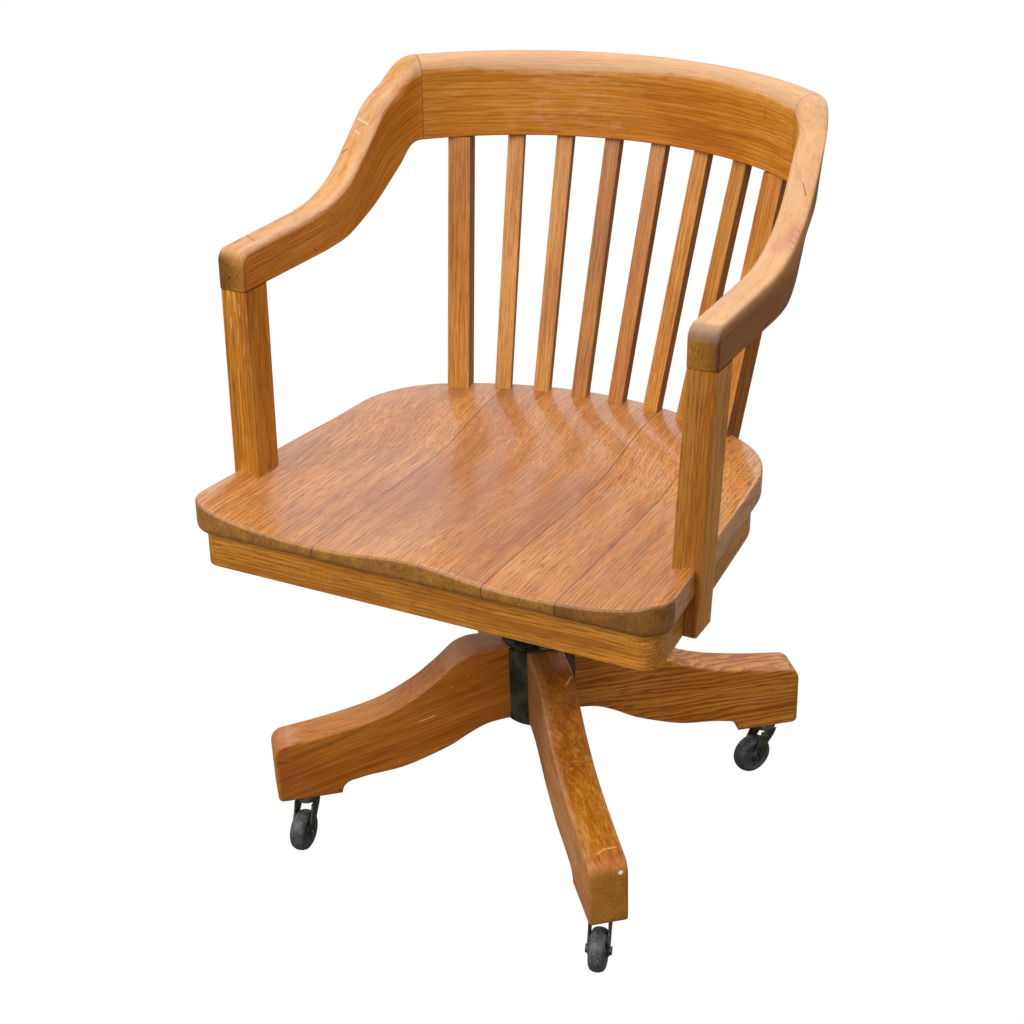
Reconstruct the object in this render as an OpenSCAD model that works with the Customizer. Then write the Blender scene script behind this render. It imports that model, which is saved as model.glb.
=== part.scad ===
// Oak swivel armchair with a turned-round back bow, slatted back, dished seat, tilting and
// rising screw post, four-leg base and casters. Millimetres, +Z up, the floor at z = 0.
// The origin is on the floor, at the centre of the rectangle that holds the chair.

/* [Seat] */
// Width of the seat board at the arm posts
seat_w = 522; // [480:1:560]
// Height of the seat's flat rim above the floor, before the chair is leant back
seat_top = 469; // [455:1:490]
// Thickness of the seat board at its rim
seat_th = 35; // [28:1:40]
// Distance from the swivel axis to the seat's front edge
seat_front = 272; // [255:1:290]
// Distance from the swivel axis to the middle of the seat's rear edge
seat_back = 184; // [181:1:188]
// Narrowing of the seat's sides towards the back, in degrees
seat_taper = 4.4; // [2:0.1:5]
// Radius of the seat's front corners
front_corner_r = 29; // [22:1:45]
// Radius of the seat's broad rear corners
rear_corner_r = 121; // [110:1:130]
// Radius of the seat's rear edge
rear_edge_r = 360; // [345:1:400]
// Depth of the two thigh hollows
dish_depth = 19; // [8:0.5:22]
// Height left standing between the hollows at the front edge
ridge_h = 9; // [0:0.5:10]
// Half width of the raised middle
ridge_w = 62; // [40:1:90]
// Glue line left of the middle
glue_line_1 = -112; // [-130:1:-60]
// Glue line right of the middle
glue_line_2 = 79; // [60:1:110]
// Glue line near the right side
glue_line_3 = 156; // [155:1:175]

/* [Seat frame] */
// Inset of the apron from the seat's edge
apron_inset = 10; // [6:0.5:20]
// Thickness of the apron boards
apron_th = 22; // [16:0.5:28]
// Height of the apron
apron_h = 38; // [30:1:46]
// Depth of the front and rear apron boards' corners, from the apron's face
apron_lap = 48; // [40:1:60]
// Size of the glue blocks in the corners
block_size = 44; // [34:1:54]

/* [Arm posts] */
// Distance from the swivel axis to the posts' front faces, at the seat
post_front = 181; // [170:1:195]
// Width of a post, front to back
post_d = 40; // [34:1:46]
// Lean of the posts backwards, in degrees
post_lean_back = 2.4; // [0:0.1:4]
// Lean of the posts outwards, in degrees
post_lean_out = 1.35; // [0:0.05:2]
// Length of the tenon in the arm
post_tenon = 26; // [15:1:32]

/* [Back bow] */
// Height of the crest rail's top
crest_top = 842; // [820:1:860]
// Height of the crest rail's lower edge
crest_bottom = 750; // [735:1:760]
// Thickness of the crest rail and the arms
bow_th = 31; // [27:0.5:34]
// Radius of the crest rail's centre line
crest_r = 316; // [306:1:322]
// Distance from the swivel axis to the crest rail's centre line, at the middle
crest_reach = 270.8; // [262:0.2:280]
// Distance from the chair's middle to the centre line of an arm
arm_x = 256; // [250:0.5:262]
// Angle from the middle of the crest rail to its joint with an arm, in degrees
joint_angle = 46.7; // [44.5:0.1:48]
// Distance behind the swivel axis at which an arm starts to bend
bend_start = 55; // [45:1:65]
// Fullness of an arm's bend
bend_pull = 30; // [24:1:36]
// Height of the arms' tops at the front
arm_top = 709; // [700:1:718]
// Height of the arms' undersides where they lie level
arm_under = 666; // [658:1:672]
// Radius of the round at the arms' front top corner
arm_nose_r = 12; // [4:1:16]
// Radius of the dowels in the bow's two joints
dowel_r = 5; // [3:0.5:6]
// Length of the dowels
dowel_l = 50; // [30:1:60]

/* [Slats and stiles] */
// Width of a slat
slat_w = 19; // [14:0.5:22]
// Thickness of a slat
slat_d = 13; // [10:0.5:15]
// Width of a back stile
stile_w = 26; // [22:0.5:30]
// Thickness of a back stile
stile_d = 28; // [24:0.5:29]
// Radius of the arc that the slats' front faces follow on the seat
foot_arc_r = 366; // [350:1:380]
// Distance from the swivel axis to the middle of that arc
foot_arc_reach = 164.3; // [162:0.1:166]
// Angle between two slats on the seat, in degrees
slat_step_low = 7.2; // [6.6:0.1:7.6]
// Angle from the middle to a stile on the seat, in degrees
stile_angle_low = 25.9; // [25.5:0.1:27]
// Angle between two slats under the crest rail, in degrees
slat_step_high = 10.4; // [10:0.1:11]
// Angle from the middle to a stile under the crest rail, in degrees
stile_angle_high = 37.7; // [37:0.1:39]
// Turn of each slat's face against its neighbour's, in degrees
slat_turn = 6.6; // [5:0.1:9]
// Turn of a stile's face, in degrees
stile_turn = 16; // [14:0.5:24]
// Length of the slats' tenons
slat_tenon = 16; // [8:1:20]

/* [Tilt] */
// Angle by which the empty chair leans back on its stop, in degrees
rest_tilt = 3; // [0:0.5:5]
// Height of the tilt pivot
pivot_z = 388; // [384:1:392]
// Radius of the tilt pivot pin
pivot_r = 8; // [6:0.5:10]
// Distance from the tilt pivot forward to the tension rod
rod_reach = 60; // [54:1:66]
// Radius of the tension rod
rod_r = 4.5; // [3.5:0.5:5]
// Radius of the pin that the tension rod hangs on
anchor_r = 5; // [4:0.5:6]
// Thickness of the seat irons
iron_th = 5; // [4:0.5:6]
// Distance between the two seat irons
iron_gap = 68; // [64:1:76]
// Length of the seat irons
iron_l = 220; // [190:1:240]
// Wire thickness of the tension spring
wire_d = 4; // [3:0.25:4.5]
// Radius of the tension spring's coil, at the middle of the wire
spring_r = 14; // [12:0.5:16]
// Turns of the tension spring
spring_turns = 6; // [4:1:7]
// Length of the tension spring at rest
spring_l = 45.6; // [44:0.1:48]
// Radius of the tension knob
knob_r = 20; // [17:0.5:22]
// Height of the tension knob
knob_h = 15; // [12:0.5:16]

/* [Screw post and hub] */
// Radius of the screw post
spindle_r = 12.5; // [11:0.25:13]
// Height of the nut that carries the screw post
nut_h = 22; // [18:1:26]
// Width of the nut across its corners
nut_w = 50; // [44:1:58]
// Radius of the hub casting
hub_r = 44; // [42:0.5:48]
// Radius of the bore through the hub
hub_bore_r = 16; // [15:0.5:17]
// Height of the hub's lower end
hub_bottom = 140; // [137:1:142]
// Height of the hub's upper end
hub_top = 237; // [232:1:240]
// Thickness of the hub's two cover plates
plate_th = 3; // [2:0.5:4]
// Radius of the hub's two cover plates
plate_r = 41; // [39:0.5:42]

/* [Legs] */
// Thickness of the legs
leg_th = 42; // [36:0.5:44]
// Distance from the swivel axis to a leg's end
leg_reach = 313.5; // [300:0.5:330]
// Height of the flat pads under the legs' ends
pad_z = 71; // [70:0.5:74]
// Length of a pad
pad_l = 74; // [68:1:80]
// Height of a leg's end
leg_end_h = 78; // [70:1:84]
// Turn of the front leg, from straight ahead to the sitter's left, in degrees
base_turn = 39.3; // [0:0.1:45]

/* [Casters] */
// Distance from the swivel axis to the casters' stems
stem_reach = 279.6; // [274:0.2:286]
// Radius of the wheels
wheel_r = 24; // [20:0.5:25]
// Width of the wheels
wheel_w = 18.3; // [14:0.1:20]
// Distance from a caster's stem to its axle
trail = 17.8; // [14:0.2:20]
// Radius of the axles
axle_r = 3; // [2.5:0.1:3.5]
// Radius of the stems
stem_r = 4; // [3.5:0.1:4.5]
// Length of a stem in its socket
stem_l = 30; // [24:1:34]
// Directions in which the wheels trail at rest: front, right, back and left leg, in degrees
trail_front = -75; // [-180:1:180]
// Right leg's wheel
trail_right = -123; // [-180:1:180]
// Back leg's wheel
trail_back = -96; // [-180:1:180]
// Left leg's wheel
trail_left = -82; // [-180:1:180]

/* [Hidden] */
// Radial clearance of a pin or shaft that turns or slides in a hole
running = 0.06;
// Gap between faces that pass each other
face_gap = 0.3;
// Smoothness of round pieces
fine = 96;
coarse = 48;

// Board surfaces and heights
seat_under = seat_top - seat_th;
apron_under = seat_under - apron_h;
half_w = seat_w / 2;
side_normal = [cos(seat_taper), sin(seat_taper)];
side_offset = side_normal * [half_w, -post_front];
seat_arc_centre = [0, seat_back - rear_edge_r];
boards = [
    [-half_w - 8, glue_line_1],
    [glue_line_1, glue_line_2],
    [glue_line_2, glue_line_3],
    [glue_line_3, half_w + 8]
];

// Back bow: the crest's arc, then the bend of an arm, then the straight arm
crest_centre = [0, crest_reach - crest_r];
crest_end = crest_centre + crest_r * [sin(joint_angle), cos(joint_angle)];
joint_y = crest_end.y + bow_th / 2 * cos(joint_angle);
arm_level_y = -40;
under_level_y = -20;
crest_roll_in = 18;
crest_roll_out = 8;

// Arm posts stand under the arms' ends
post_w = bow_th;
post_rise = arm_under - seat_top;
post_x = arm_x - post_rise * tan(post_lean_out);
post_y = -post_front + post_d / 2;
arm_front = post_y + post_rise * tan(post_lean_back) - post_d / 2;

// Slats and stiles
foot_centre = [0, foot_arc_reach - foot_arc_r];
slats_total = 6;

// How far a bar is drawn past its level cuts
bar_over = 200;
// Shoulders of the tenons, on each side and on front and back
slat_shoulder = [2.5, 2];
stile_shoulder = [4, 7];
post_shoulder = [5, 7];

// Tilt gear, in the frame of the swivel
iron_in = iron_gap / 2;
iron_flange = 28;
iron_drop = 14;
iron_edge = 12;
ear_top = pivot_z - 17;
ear_th = 11;
ear_under = ear_top - ear_th;
spring_low = ear_under - spring_l - face_gap;
washer_th = 3;
knob_top = spring_low - face_gap - washer_th;
rod_y = -rod_reach * cos(rest_tilt);
rod_z = pivot_z + rod_reach * sin(rest_tilt);
rod_low = knob_top - knob_h - 2;
head_r = 21;
head_low = pivot_z - 56;
socket_top = pivot_z - 26;

// Screw post and hub
thrust_th = 2.5;
cover_top = hub_top + plate_th;
nut_low = cover_top + thrust_th;
spindle_low = hub_bottom + 23;
pocket_r = 28;
screw_ring = 34.5;

// Casters
crown_z = 58;
fork_in = wheel_w / 2 + 0.6;
cheek_th = 2.3;
rivet_half = fork_in + cheek_th + 2.1;
cap_r = 13;
cheek_end_r = 6.5;
socket_wall = 1.6;
leg_turns = [-90 + base_turn, base_turn, 90 + base_turn, 180 + base_turn];
trails = [trail_front, trail_right, trail_back, trail_left];

// How far back a point of the seat's side goes when the chair leans on its stop
function leant_y(y, z) = y * cos(rest_tilt) + (z - pivot_z) * sin(rest_tilt);
front_most = leant_y(-seat_front, seat_under);
rear_most = leant_y(crest_reach + bow_th / 2 - crest_roll_out, crest_top - crest_roll_out) + crest_roll_out;
origin_y = -(front_most + rear_most) / 2;

// Points along an arc, from angle a to angle b, n steps
function arc(c, r, a, b, n) = [
    for (i = [0:n])
        let (t = a + (b - a) * i / n)
        c + r * [cos(t), sin(t)]
];

// Smooth curve through points, as many steps between two neighbours as asked
function blend(p0, p1, p2, p3, t) = (
    2 * p1
    + (p2 - p0) * t
    + (2 * p0 - 5 * p1 + 4 * p2 - p3) * t * t
    + (3 * p1 - p0 - 3 * p2 + p3) * t * t * t
) / 2;
function smooth_line(p, steps) = let (last = len(p) - 1) concat(
    [
        for (i = [0:last - 1], k = [0:steps - 1])
            blend(p[max(i - 1, 0)], p[i], p[i + 1], p[min(i + 2, last)], k / steps)
    ],
    [p[last]]
);

// Points of an ogee from one end to the other, from fractions of its run and its fall
function ogee(from, to, shape, steps) = smooth_line(
    [for (s = shape) [from.x + (to.x - from.x) * s.x, from.y + (to.y - from.y) * s.y]],
    steps
);

function ease(t) = let (u = min(1, max(0, t))) u * u * (3 - 2 * u);

// Everything that swivels or stands
module placed() {
    translate([0, origin_y, 0])
        children();
}

// Everything that leans back with the seat
module leant() {
    translate([0, origin_y, pivot_z])
        rotate([-rest_tilt, 0, 0])
            translate([0, 0, -pivot_z])
                children();
}

// Right half of the seat's outline, moved in by an inset, from the front's middle to the back's
function half_outline(inset) = let (
    n = side_normal,
    u = [-n.y, n.x],
    d = side_offset - inset,
    fr = max(front_corner_r - inset, 2),
    fy = -seat_front + inset + fr,
    fc = [(d - fr - n.y * fy) / n.x, fy],
    rr = rear_corner_r - inset,
    big = rear_edge_r - inset,
    base = (d - rr) * n - seat_arc_centre,
    half_b = base * u,
    along = -half_b + sqrt(half_b * half_b - base * base + (big - rr) * (big - rr)),
    rc = (d - rr) * n + along * u,
    toward = rc - seat_arc_centre,
    turn = atan2(toward.y, toward.x)
) concat(
    [[0, -seat_front + inset]],
    arc(fc, fr, -90, seat_taper, 8),
    arc(rc, rr, seat_taper, turn, 12),
    [for (i = [1:9]) seat_arc_centre + big * [cos(turn + (90 - turn) * i / 9), sin(turn + (90 - turn) * i / 9)]]
);
module seat_outline(inset = 0) {
    half = half_outline(inset);
    polygon(concat(half, [for (i = [len(half) - 2:-1:1]) [-half[i].x, half[i].y]]));
}

// Depth of the dished seat below its rim
function rim_y(x) = foot_centre.y + sqrt(pow(foot_arc_r, 2) - x * x) - 10;
function hollow(x, y) = let (
    v = (y + seat_front) / (rim_y(x) + seat_front),
    side = max(0, 1 - pow(abs(x) / (half_w - 10), 5)),
    depth = dish_depth * (1 + 0.12 * ease(v / 0.5)) * (1 - ease((v - 0.6) / 0.4)),
    ridge = ridge_h * exp(-pow(x / ridge_w, 2)) * (1 - ease(v / 0.62))
) max(0, depth * side - ridge * side);

cell = 18;
dish_rows = 22;
function dish_at(k, i, j, cols) = let (
    x = boards[k].x + (boards[k].y - boards[k].x) * i / cols,
    y = -seat_front - 2 + (seat_front + seat_back + 4) * j / dish_rows
) [x, y, seat_top - hollow(x, y)];

// Solid block of one board's width, whose top is the dished surface
module dished_block(k) {
    cols = ceil((boards[k].y - boards[k].x) / cell);
    row = cols + 1;
    count = row * (dish_rows + 1);
    top = [for (j = [0:dish_rows], i = [0:cols]) dish_at(k, i, j, cols)];
    low = [for (p = top) [p.x, p.y, seat_under]];
    rim = concat(
        [for (i = [0:cols - 1]) i],
        [for (j = [0:dish_rows - 1]) j * row + cols],
        [for (i = [cols:-1:1]) dish_rows * row + i],
        [for (j = [dish_rows:-1:1]) j * row]
    );
    faces = [
        for (j = [0:dish_rows - 1], i = [0:cols - 1])
            let (a = j * row + i, b = count + a)
            each [
                [a, a + row, a + row + 1], [a, a + row + 1, a + 1],
                [b, b + 1, b + row + 1], [b, b + row + 1, b + row]
            ]
    ];
    walls = [
        for (n = [0:len(rim) - 1])
            let (a = rim[n], b = rim[(n + 1) % len(rim)])
            each [[a, b, count + b], [a, count + b, count + a]]
    ];
    polyhedron(concat(top, low), concat(faces, walls));
}

// Slats and stiles lean out like a fan: from a foot on the seat to a head under the crest
function fan_foot(angle, d) = foot_centre + (foot_arc_r + d / 2) * [sin(angle), cos(angle)];
function fan_head(angle) = crest_centre + crest_r * [sin(angle), cos(angle)];
module fan_bar(low_angle, high_angle, turn, w, d, z0, z1, behind = 0) {
    foot = fan_foot(low_angle, d);
    run = fan_head(high_angle) - foot;
    rise = crest_bottom - seat_top;
    across = run * [cos(turn), -sin(turn)];
    back = run * [sin(turn), cos(turn)];
    intersection() {
        translate([foot.x, foot.y, seat_top])
            rotate([0, 0, -turn])
                rotate([-asin(back / norm([run.x, run.y, rise])), atan2(across, rise), 0])
                    translate([-w / 2, -d / 2, -bar_over])
                        cube([w, d + behind, bar_over + 2 * rise]);
        translate([-seat_w, -seat_w, z0])
            cube([2 * seat_w, 2 * seat_w, z1 - z0]);
    }
}
module slat_part(k, w, d, z0, z1) {
    side = k - (slats_total + 1) / 2;
    fan_bar(side * slat_step_low, side * slat_step_high, side * slat_turn, w, d, z0, z1);
}
module slat_bar(k) {
    slat_part(k, slat_w, slat_d, seat_top, crest_bottom);
}
module slat_tenon_part(k, z0, z1) {
    slat_part(k, slat_w - 2 * slat_shoulder.x, slat_d - 2 * slat_shoulder.y, z0, z1);
}
module slat_tenon_low(k) {
    slat_tenon_part(k, seat_top - slat_tenon, seat_top);
}
module slat_tenon_high(k) {
    slat_tenon_part(k, crest_bottom, crest_bottom + slat_tenon);
}
module stile_part(side, w, d, z0, z1, behind = 0) {
    fan_bar(side * stile_angle_low, side * stile_angle_high, side * stile_turn, w, d, z0, z1, behind);
}
module stile_bar(side) {
    stile_part(side, stile_w, stile_d, apron_under, crest_bottom);
}
// Notch for a stile in the seat's back edge, open to the back
module stile_notch(side) {
    stile_part(side, stile_w, stile_d, apron_under, crest_bottom, 2 * stile_d);
}
module stile_tenon(side) {
    size = [stile_w, stile_d] - 2 * stile_shoulder;
    stile_part(side, size.x, size.y, crest_bottom, crest_bottom + slat_tenon);
}

// Arm posts
module post_solid(side, w, d, z0, z1) {
    intersection() {
        translate([side * post_x, post_y, seat_top])
            rotate([-post_lean_back, side * post_lean_out, 0])
                translate([-w / 2, -d / 2, -bar_over])
                    cube([w, d, 3 * bar_over]);
        translate([-seat_w, -seat_w, z0])
            cube([2 * seat_w, 2 * seat_w, z1 - z0]);
    }
}
module post_bar(side) {
    post_solid(side, post_w, post_d, apron_under, arm_under);
}
module post_tenon_bar(side) {
    size = [post_w, post_d] - 2 * post_shoulder;
    post_solid(side, size.x, size.y, arm_under, arm_under + post_tenon);
}

// Seat boards, cut from one dished block along the glue lines
module seat_board(k) {
    color("peru")
        leant()
            difference() {
                intersection() {
                    dished_block(k);
                    translate([0, 0, seat_under - 1])
                        linear_extrude(seat_th + 2)
                            seat_outline();
                }
                for (side = [-1, 1]) {
                    post_bar(side);
                    stile_notch(side);
                    for (p = block_screw_spots)
                        block_screw_shank(side, p);
                    for (y = iron_screw_spots)
                        iron_screw_shank(side, y);
                }
                for (s = [1:slats_total])
                    slat_tenon_low(s);
            }
}

// Apron: a ring under the seat, cut into a front, a back and two side boards
module apron_ring() {
    difference() {
        seat_outline(apron_inset);
        seat_outline(apron_inset + apron_th);
    }
}
front_cut = -seat_front + apron_inset + apron_lap;
back_cut = seat_back - rear_corner_r - apron_lap / 2;
module apron_piece() {
    color("chocolate")
        leant()
            difference() {
                translate([0, 0, apron_under])
                    linear_extrude(apron_h)
                        intersection() {
                            apron_ring();
                            children();
                        }
                for (side = [-1, 1]) {
                    post_bar(side);
                    stile_bar(side);
                }
            }
}
module band(y0, y1, x0 = -seat_w, x1 = seat_w) {
    translate([x0, y0])
        square([x1 - x0, y1 - y0]);
}
module apron_front() {
    apron_piece()
        band(-seat_w, front_cut);
}
module apron_back() {
    apron_piece()
        band(back_cut, seat_w);
}
module apron_left() {
    apron_piece()
        band(front_cut, back_cut, -seat_w, 0);
}
module apron_right() {
    apron_piece()
        band(front_cut, back_cut, 0, seat_w);
}

// Glue blocks behind the apron's front corners and beside the stiles
block_in = apron_inset + apron_th;
block_x = half_w - block_in;
block_under = apron_under + 4;
rear_block_in = 30;
block_screw_in = 11;
block_screw_r = 2.2;
seat_screw_r = 2.6;
seat_screw_bite = 10;
screw_head_h = 2.5;
module block_plan(side) {
    intersection() {
        seat_outline(block_in);
        union() {
            translate([side * block_x, -seat_front + block_in])
                rotate([0, 0, 45])
                    square(block_size, center = true);
            translate([side * (block_x - rear_block_in), seat_back - rear_corner_r])
                rotate([0, 0, 45])
                    square(block_size, center = true);
        }
    }
}
block_screw_spots = [
    [block_x - block_screw_in, -seat_front + block_in + block_screw_in],
    [block_x - rear_block_in - 6, seat_back - rear_corner_r - 4]
];
module block_screw_shank(side, p) {
    translate([side * p.x, p.y, block_under])
        cylinder(r = block_screw_r, h = seat_under - block_under + seat_screw_bite, $fn = coarse);
}
module corner_blocks() {
    color("sienna")
        leant()
            for (side = [-1, 1])
                difference() {
                    translate([0, 0, block_under])
                        linear_extrude(seat_under - block_under)
                            block_plan(side);
                    stile_bar(side);
                    for (p = block_screw_spots)
                        block_screw_shank(side, p);
                }
}
module block_screws() {
    color("dimgray")
        leant()
            for (side = [-1, 1], p = block_screw_spots) {
                block_screw_shank(side, p);
                translate([side * p.x, p.y, block_under - screw_head_h])
                    cylinder(r = 2 * block_screw_r, h = screw_head_h, $fn = coarse);
            }
}

module arm_post(side) {
    color("sandybrown")
        leant() {
            post_bar(side);
            post_tenon_bar(side);
        }
}
module stile(side) {
    color("sandybrown")
        leant() {
            stile_bar(side);
            stile_tenon(side);
        }
}
module slat(k) {
    color("burlywood")
        leant() {
            slat_bar(k);
            slat_tenon_low(k);
            slat_tenon_high(k);
        }
}

// Crest rail: a section with a rolled top, turned about the bow's centre
module crest_section(r) {
    height = crest_top - crest_bottom;
    flat = bow_th - crest_roll_in - crest_roll_out;
    translate([r - bow_th / 2, crest_bottom])
        intersection() {
            square([bow_th, height]);
            union() {
                square([bow_th, height - crest_roll_in]);
                translate([crest_roll_in, 0])
                    square([flat + crest_roll_out, height - crest_roll_out]);
                translate([crest_roll_in, 0])
                    square([flat, height]);
                translate([crest_roll_in, height - crest_roll_in])
                    circle(r = crest_roll_in, $fn = coarse);
                translate([bow_th - crest_roll_out, height - crest_roll_out])
                    circle(r = crest_roll_out, $fn = coarse);
            }
        }
}
module joint_dowel(side, z) {
    translate([crest_centre.x, crest_centre.y, z])
        rotate([0, 0, -side * joint_angle])
            translate([0, crest_r, 0])
                rotate([0, 90, 0])
                    cylinder(r = dowel_r, h = dowel_l, center = true, $fn = coarse);
}
dowel_heights = [
    crest_bottom + 0.25 * (crest_top - crest_bottom),
    crest_bottom + 0.6 * (crest_top - crest_bottom)
];
module crest_rail() {
    color("goldenrod")
        leant()
            difference() {
                translate([crest_centre.x, crest_centre.y, 0])
                    rotate([0, 0, 90 - joint_angle])
                        rotate_extrude(angle = 2 * joint_angle, $fn = 180)
                            crest_section(crest_r);
                for (s = [1:slats_total])
                    slat_tenon_high(s);
                for (side = [-1, 1]) {
                    stile_tenon(side);
                    for (z = dowel_heights)
                        joint_dowel(side, z);
                }
            }
}

// Arms: the bow's plan, bent at the elbow, cut to the side profile that sweeps down to the front
arm_top_shape = [
    [0, 0], [0.146, 0.134], [0.326, 0.322], [0.411, 0.472], [0.519, 0.66], [0.649, 0.834], [0.82, 0.955], [1, 1]
];
arm_under_shape = [
    [0, 0], [0.11, 0.012], [0.168, 0.083], [0.23, 0.225], [0.304, 0.379], [0.385, 0.538],
    [0.486, 0.698], [0.595, 0.817], [0.704, 0.911], [0.812, 0.97], [1, 1]
];
module arm_profile() {
    top_z = crest_top - 3;
    top_line = ogee([joint_y, top_z], [arm_level_y, arm_top + 3], arm_top_shape, 4);
    under_line = ogee([joint_y, crest_bottom], [under_level_y, arm_under + 0.5], arm_under_shape, 3);
    nose = arc([arm_front + arm_nose_r, arm_top - arm_nose_r], arm_nose_r, 90, 180, 6);
    polygon(concat(
        [[joint_y + bow_th, top_z]],
        top_line,
        nose,
        [[arm_front, arm_under], [arm_front + post_d, arm_under]],
        [for (i = [len(under_line) - 1:-1:0]) under_line[i]],
        [[joint_y + bow_th, crest_bottom]]
    ));
}
function bezier(p, t) = (
    pow(1 - t, 3) * p[0]
    + 3 * t * pow(1 - t, 2) * p[1]
    + 3 * t * t * (1 - t) * p[2]
    + pow(t, 3) * p[3]
);
function bezier_way(p, t) = (
    pow(1 - t, 2) * (p[1] - p[0]) + 2 * t * (1 - t) * (p[2] - p[1]) + t * t * (p[3] - p[2])
);
bend = [
    [arm_x, bend_start],
    [arm_x, bend_start + bend_pull],
    crest_end + bend_pull * [cos(joint_angle), -sin(joint_angle)],
    crest_end
];
bend_steps = 14;
function bend_side(t, off) = let (w = bezier_way(bend, t)) bezier(bend, t) + off * [w.y, -w.x] / norm(w);
module arm_plan() {
    polygon(concat(
        [[arm_x + bow_th / 2, arm_front]],
        [for (i = [0:bend_steps]) bend_side(i / bend_steps, bow_th / 2)],
        [for (i = [bend_steps:-1:0]) bend_side(i / bend_steps, -bow_th / 2)],
        [[arm_x - bow_th / 2, arm_front]]
    ));
}
module arm(side) {
    color("tan")
        leant()
            difference() {
                mirror([side < 0 ? 1 : 0, 0, 0])
                    intersection() {
                        translate([0, 0, arm_under])
                            linear_extrude(crest_top - arm_under)
                                arm_plan();
                        rotate([90, 0, 90])
                            linear_extrude(2 * arm_x)
                                arm_profile();
                    }
                post_tenon_bar(side);
                for (z = dowel_heights)
                    joint_dowel(side, z);
            }
}
module bow_dowels() {
    color("wheat")
        leant()
            for (side = [-1, 1], z = dowel_heights)
                joint_dowel(side, z);
}

// Seat irons: angle bars under the seat, with ears for the pivot pin and the anchor pin
iron_screw_spots = [-0.42, -0.2, 0.2, 0.42] * iron_l;
iron_screw_x = iron_in + iron_flange * 0.6;
module iron_plan() {
    hub_drop = pivot_z - iron_drop;
    polygon([
        [-iron_l / 2, seat_under],
        [iron_l / 2, seat_under],
        [iron_l / 2, seat_under - iron_edge],
        [iron_drop, pivot_z + 6],
        [iron_drop * 0.7, hub_drop + 4],
        [-rod_reach - iron_drop * 0.7, hub_drop + 4],
        [-rod_reach - iron_drop, pivot_z + 6],
        [-iron_l / 2, seat_under - iron_edge]
    ]);
    translate([0, pivot_z])
        circle(r = iron_drop, $fn = coarse);
    translate([-rod_reach, pivot_z])
        circle(r = iron_drop - 2, $fn = coarse);
}
module seat_iron(side) {
    color("darkslategray")
        leant()
            mirror([side < 0 ? 1 : 0, 0, 0])
                difference() {
                    union() {
                        translate([iron_in, 0, 0])
                            rotate([90, 0, 90])
                                linear_extrude(iron_th)
                                    iron_plan();
                        translate([iron_in, -iron_l / 2, seat_under - iron_th])
                            cube([iron_flange, iron_l, iron_th]);
                    }
                    translate([iron_in - 1, 0, pivot_z])
                        rotate([0, 90, 0])
                            cylinder(r = pivot_r, h = iron_th + 2, $fn = fine);
                    translate([iron_in - 1, -rod_reach, pivot_z])
                        rotate([0, 90, 0])
                            cylinder(r = anchor_r, h = iron_th + 2, $fn = fine);
                    for (y = iron_screw_spots)
                        iron_screw_shank(1, y);
                }
}
module iron_screw_shank(side, y) {
    translate([side * iron_screw_x, y, seat_under - iron_th])
        cylinder(r = seat_screw_r, h = iron_th + seat_screw_bite, $fn = coarse);
}
module seat_screws() {
    color("gray")
        leant()
            for (side = [-1, 1], y = iron_screw_spots) {
                iron_screw_shank(side, y);
                translate([side * iron_screw_x, y, seat_under - iron_th - screw_head_h])
                    cylinder(r = 2 * seat_screw_r, h = screw_head_h, $fn = coarse);
            }
}
module cross_pin(r, y, over) {
    reach = iron_in + iron_th;
    translate([-reach - over, y, pivot_z])
        rotate([0, 90, 0])
            cylinder(r = r, h = 2 * (reach + over), $fn = fine);
    for (side = [-1, 1])
        translate([side * (reach + over / 2 + 0.5), y, pivot_z])
            rotate([0, 90, 0])
                cylinder(r = r + 3, h = over - 1, center = true, $fn = coarse);
}
module tilt_pivot_pin() {
    color("silver")
        leant()
            cross_pin(pivot_r, 0, 4);
}
module anchor_pin() {
    color("silver")
        leant()
            cross_pin(anchor_r, -rod_reach, 3);
}

// Tilt head: a cross tube for the pivot, a socket for the screw post and an ear for the rod
module tilt_head() {
    tube = iron_gap - 2 * face_gap;
    color("darkslategray")
        placed()
            difference() {
                union() {
                    translate([-tube / 2, 0, pivot_z])
                        rotate([0, 90, 0])
                            cylinder(r = iron_drop, h = tube, $fn = fine);
                    translate([0, 0, head_low])
                        cylinder(r = head_r, h = pivot_z - head_low - 8, $fn = fine);
                    translate([-head_r, rod_y, ear_under])
                        cube([2 * head_r, -rod_y, ear_th]);
                    translate([0, rod_y, ear_under])
                        cylinder(r = head_r, h = ear_th, $fn = fine);
                }
                translate([-tube, 0, pivot_z])
                    rotate([0, 90, 0])
                        cylinder(r = pivot_r + running, h = 2 * tube, $fn = fine);
                translate([0, 0, head_low - 1])
                    cylinder(r = spindle_r, h = socket_top - head_low + 1, $fn = fine);
                for (y = [-1, 4])
                    translate([0, rod_y + y, ear_under - 1])
                        cylinder(r = rod_r + 2, h = ear_th + 2, $fn = coarse);
                translate([-rod_r - 2, rod_y - 1, ear_under - 1])
                    cube([2 * rod_r + 4, 5, ear_th + 2]);
            }
}
module tension_rod() {
    eye_r = anchor_r + 4.5;
    eye_w = 14;
    color("silver")
        placed()
            difference() {
                union() {
                    translate([0, rod_y, rod_low])
                        cylinder(r = rod_r, h = rod_z - rod_low, $fn = coarse);
                    translate([-eye_w / 2, rod_y, rod_z])
                        rotate([0, 90, 0])
                            cylinder(r = eye_r, h = eye_w, $fn = coarse);
                }
                translate([-eye_w, rod_y, rod_z])
                    rotate([0, 90, 0])
                        cylinder(r = anchor_r + running, h = 2 * eye_w, $fn = fine);
            }
}

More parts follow.
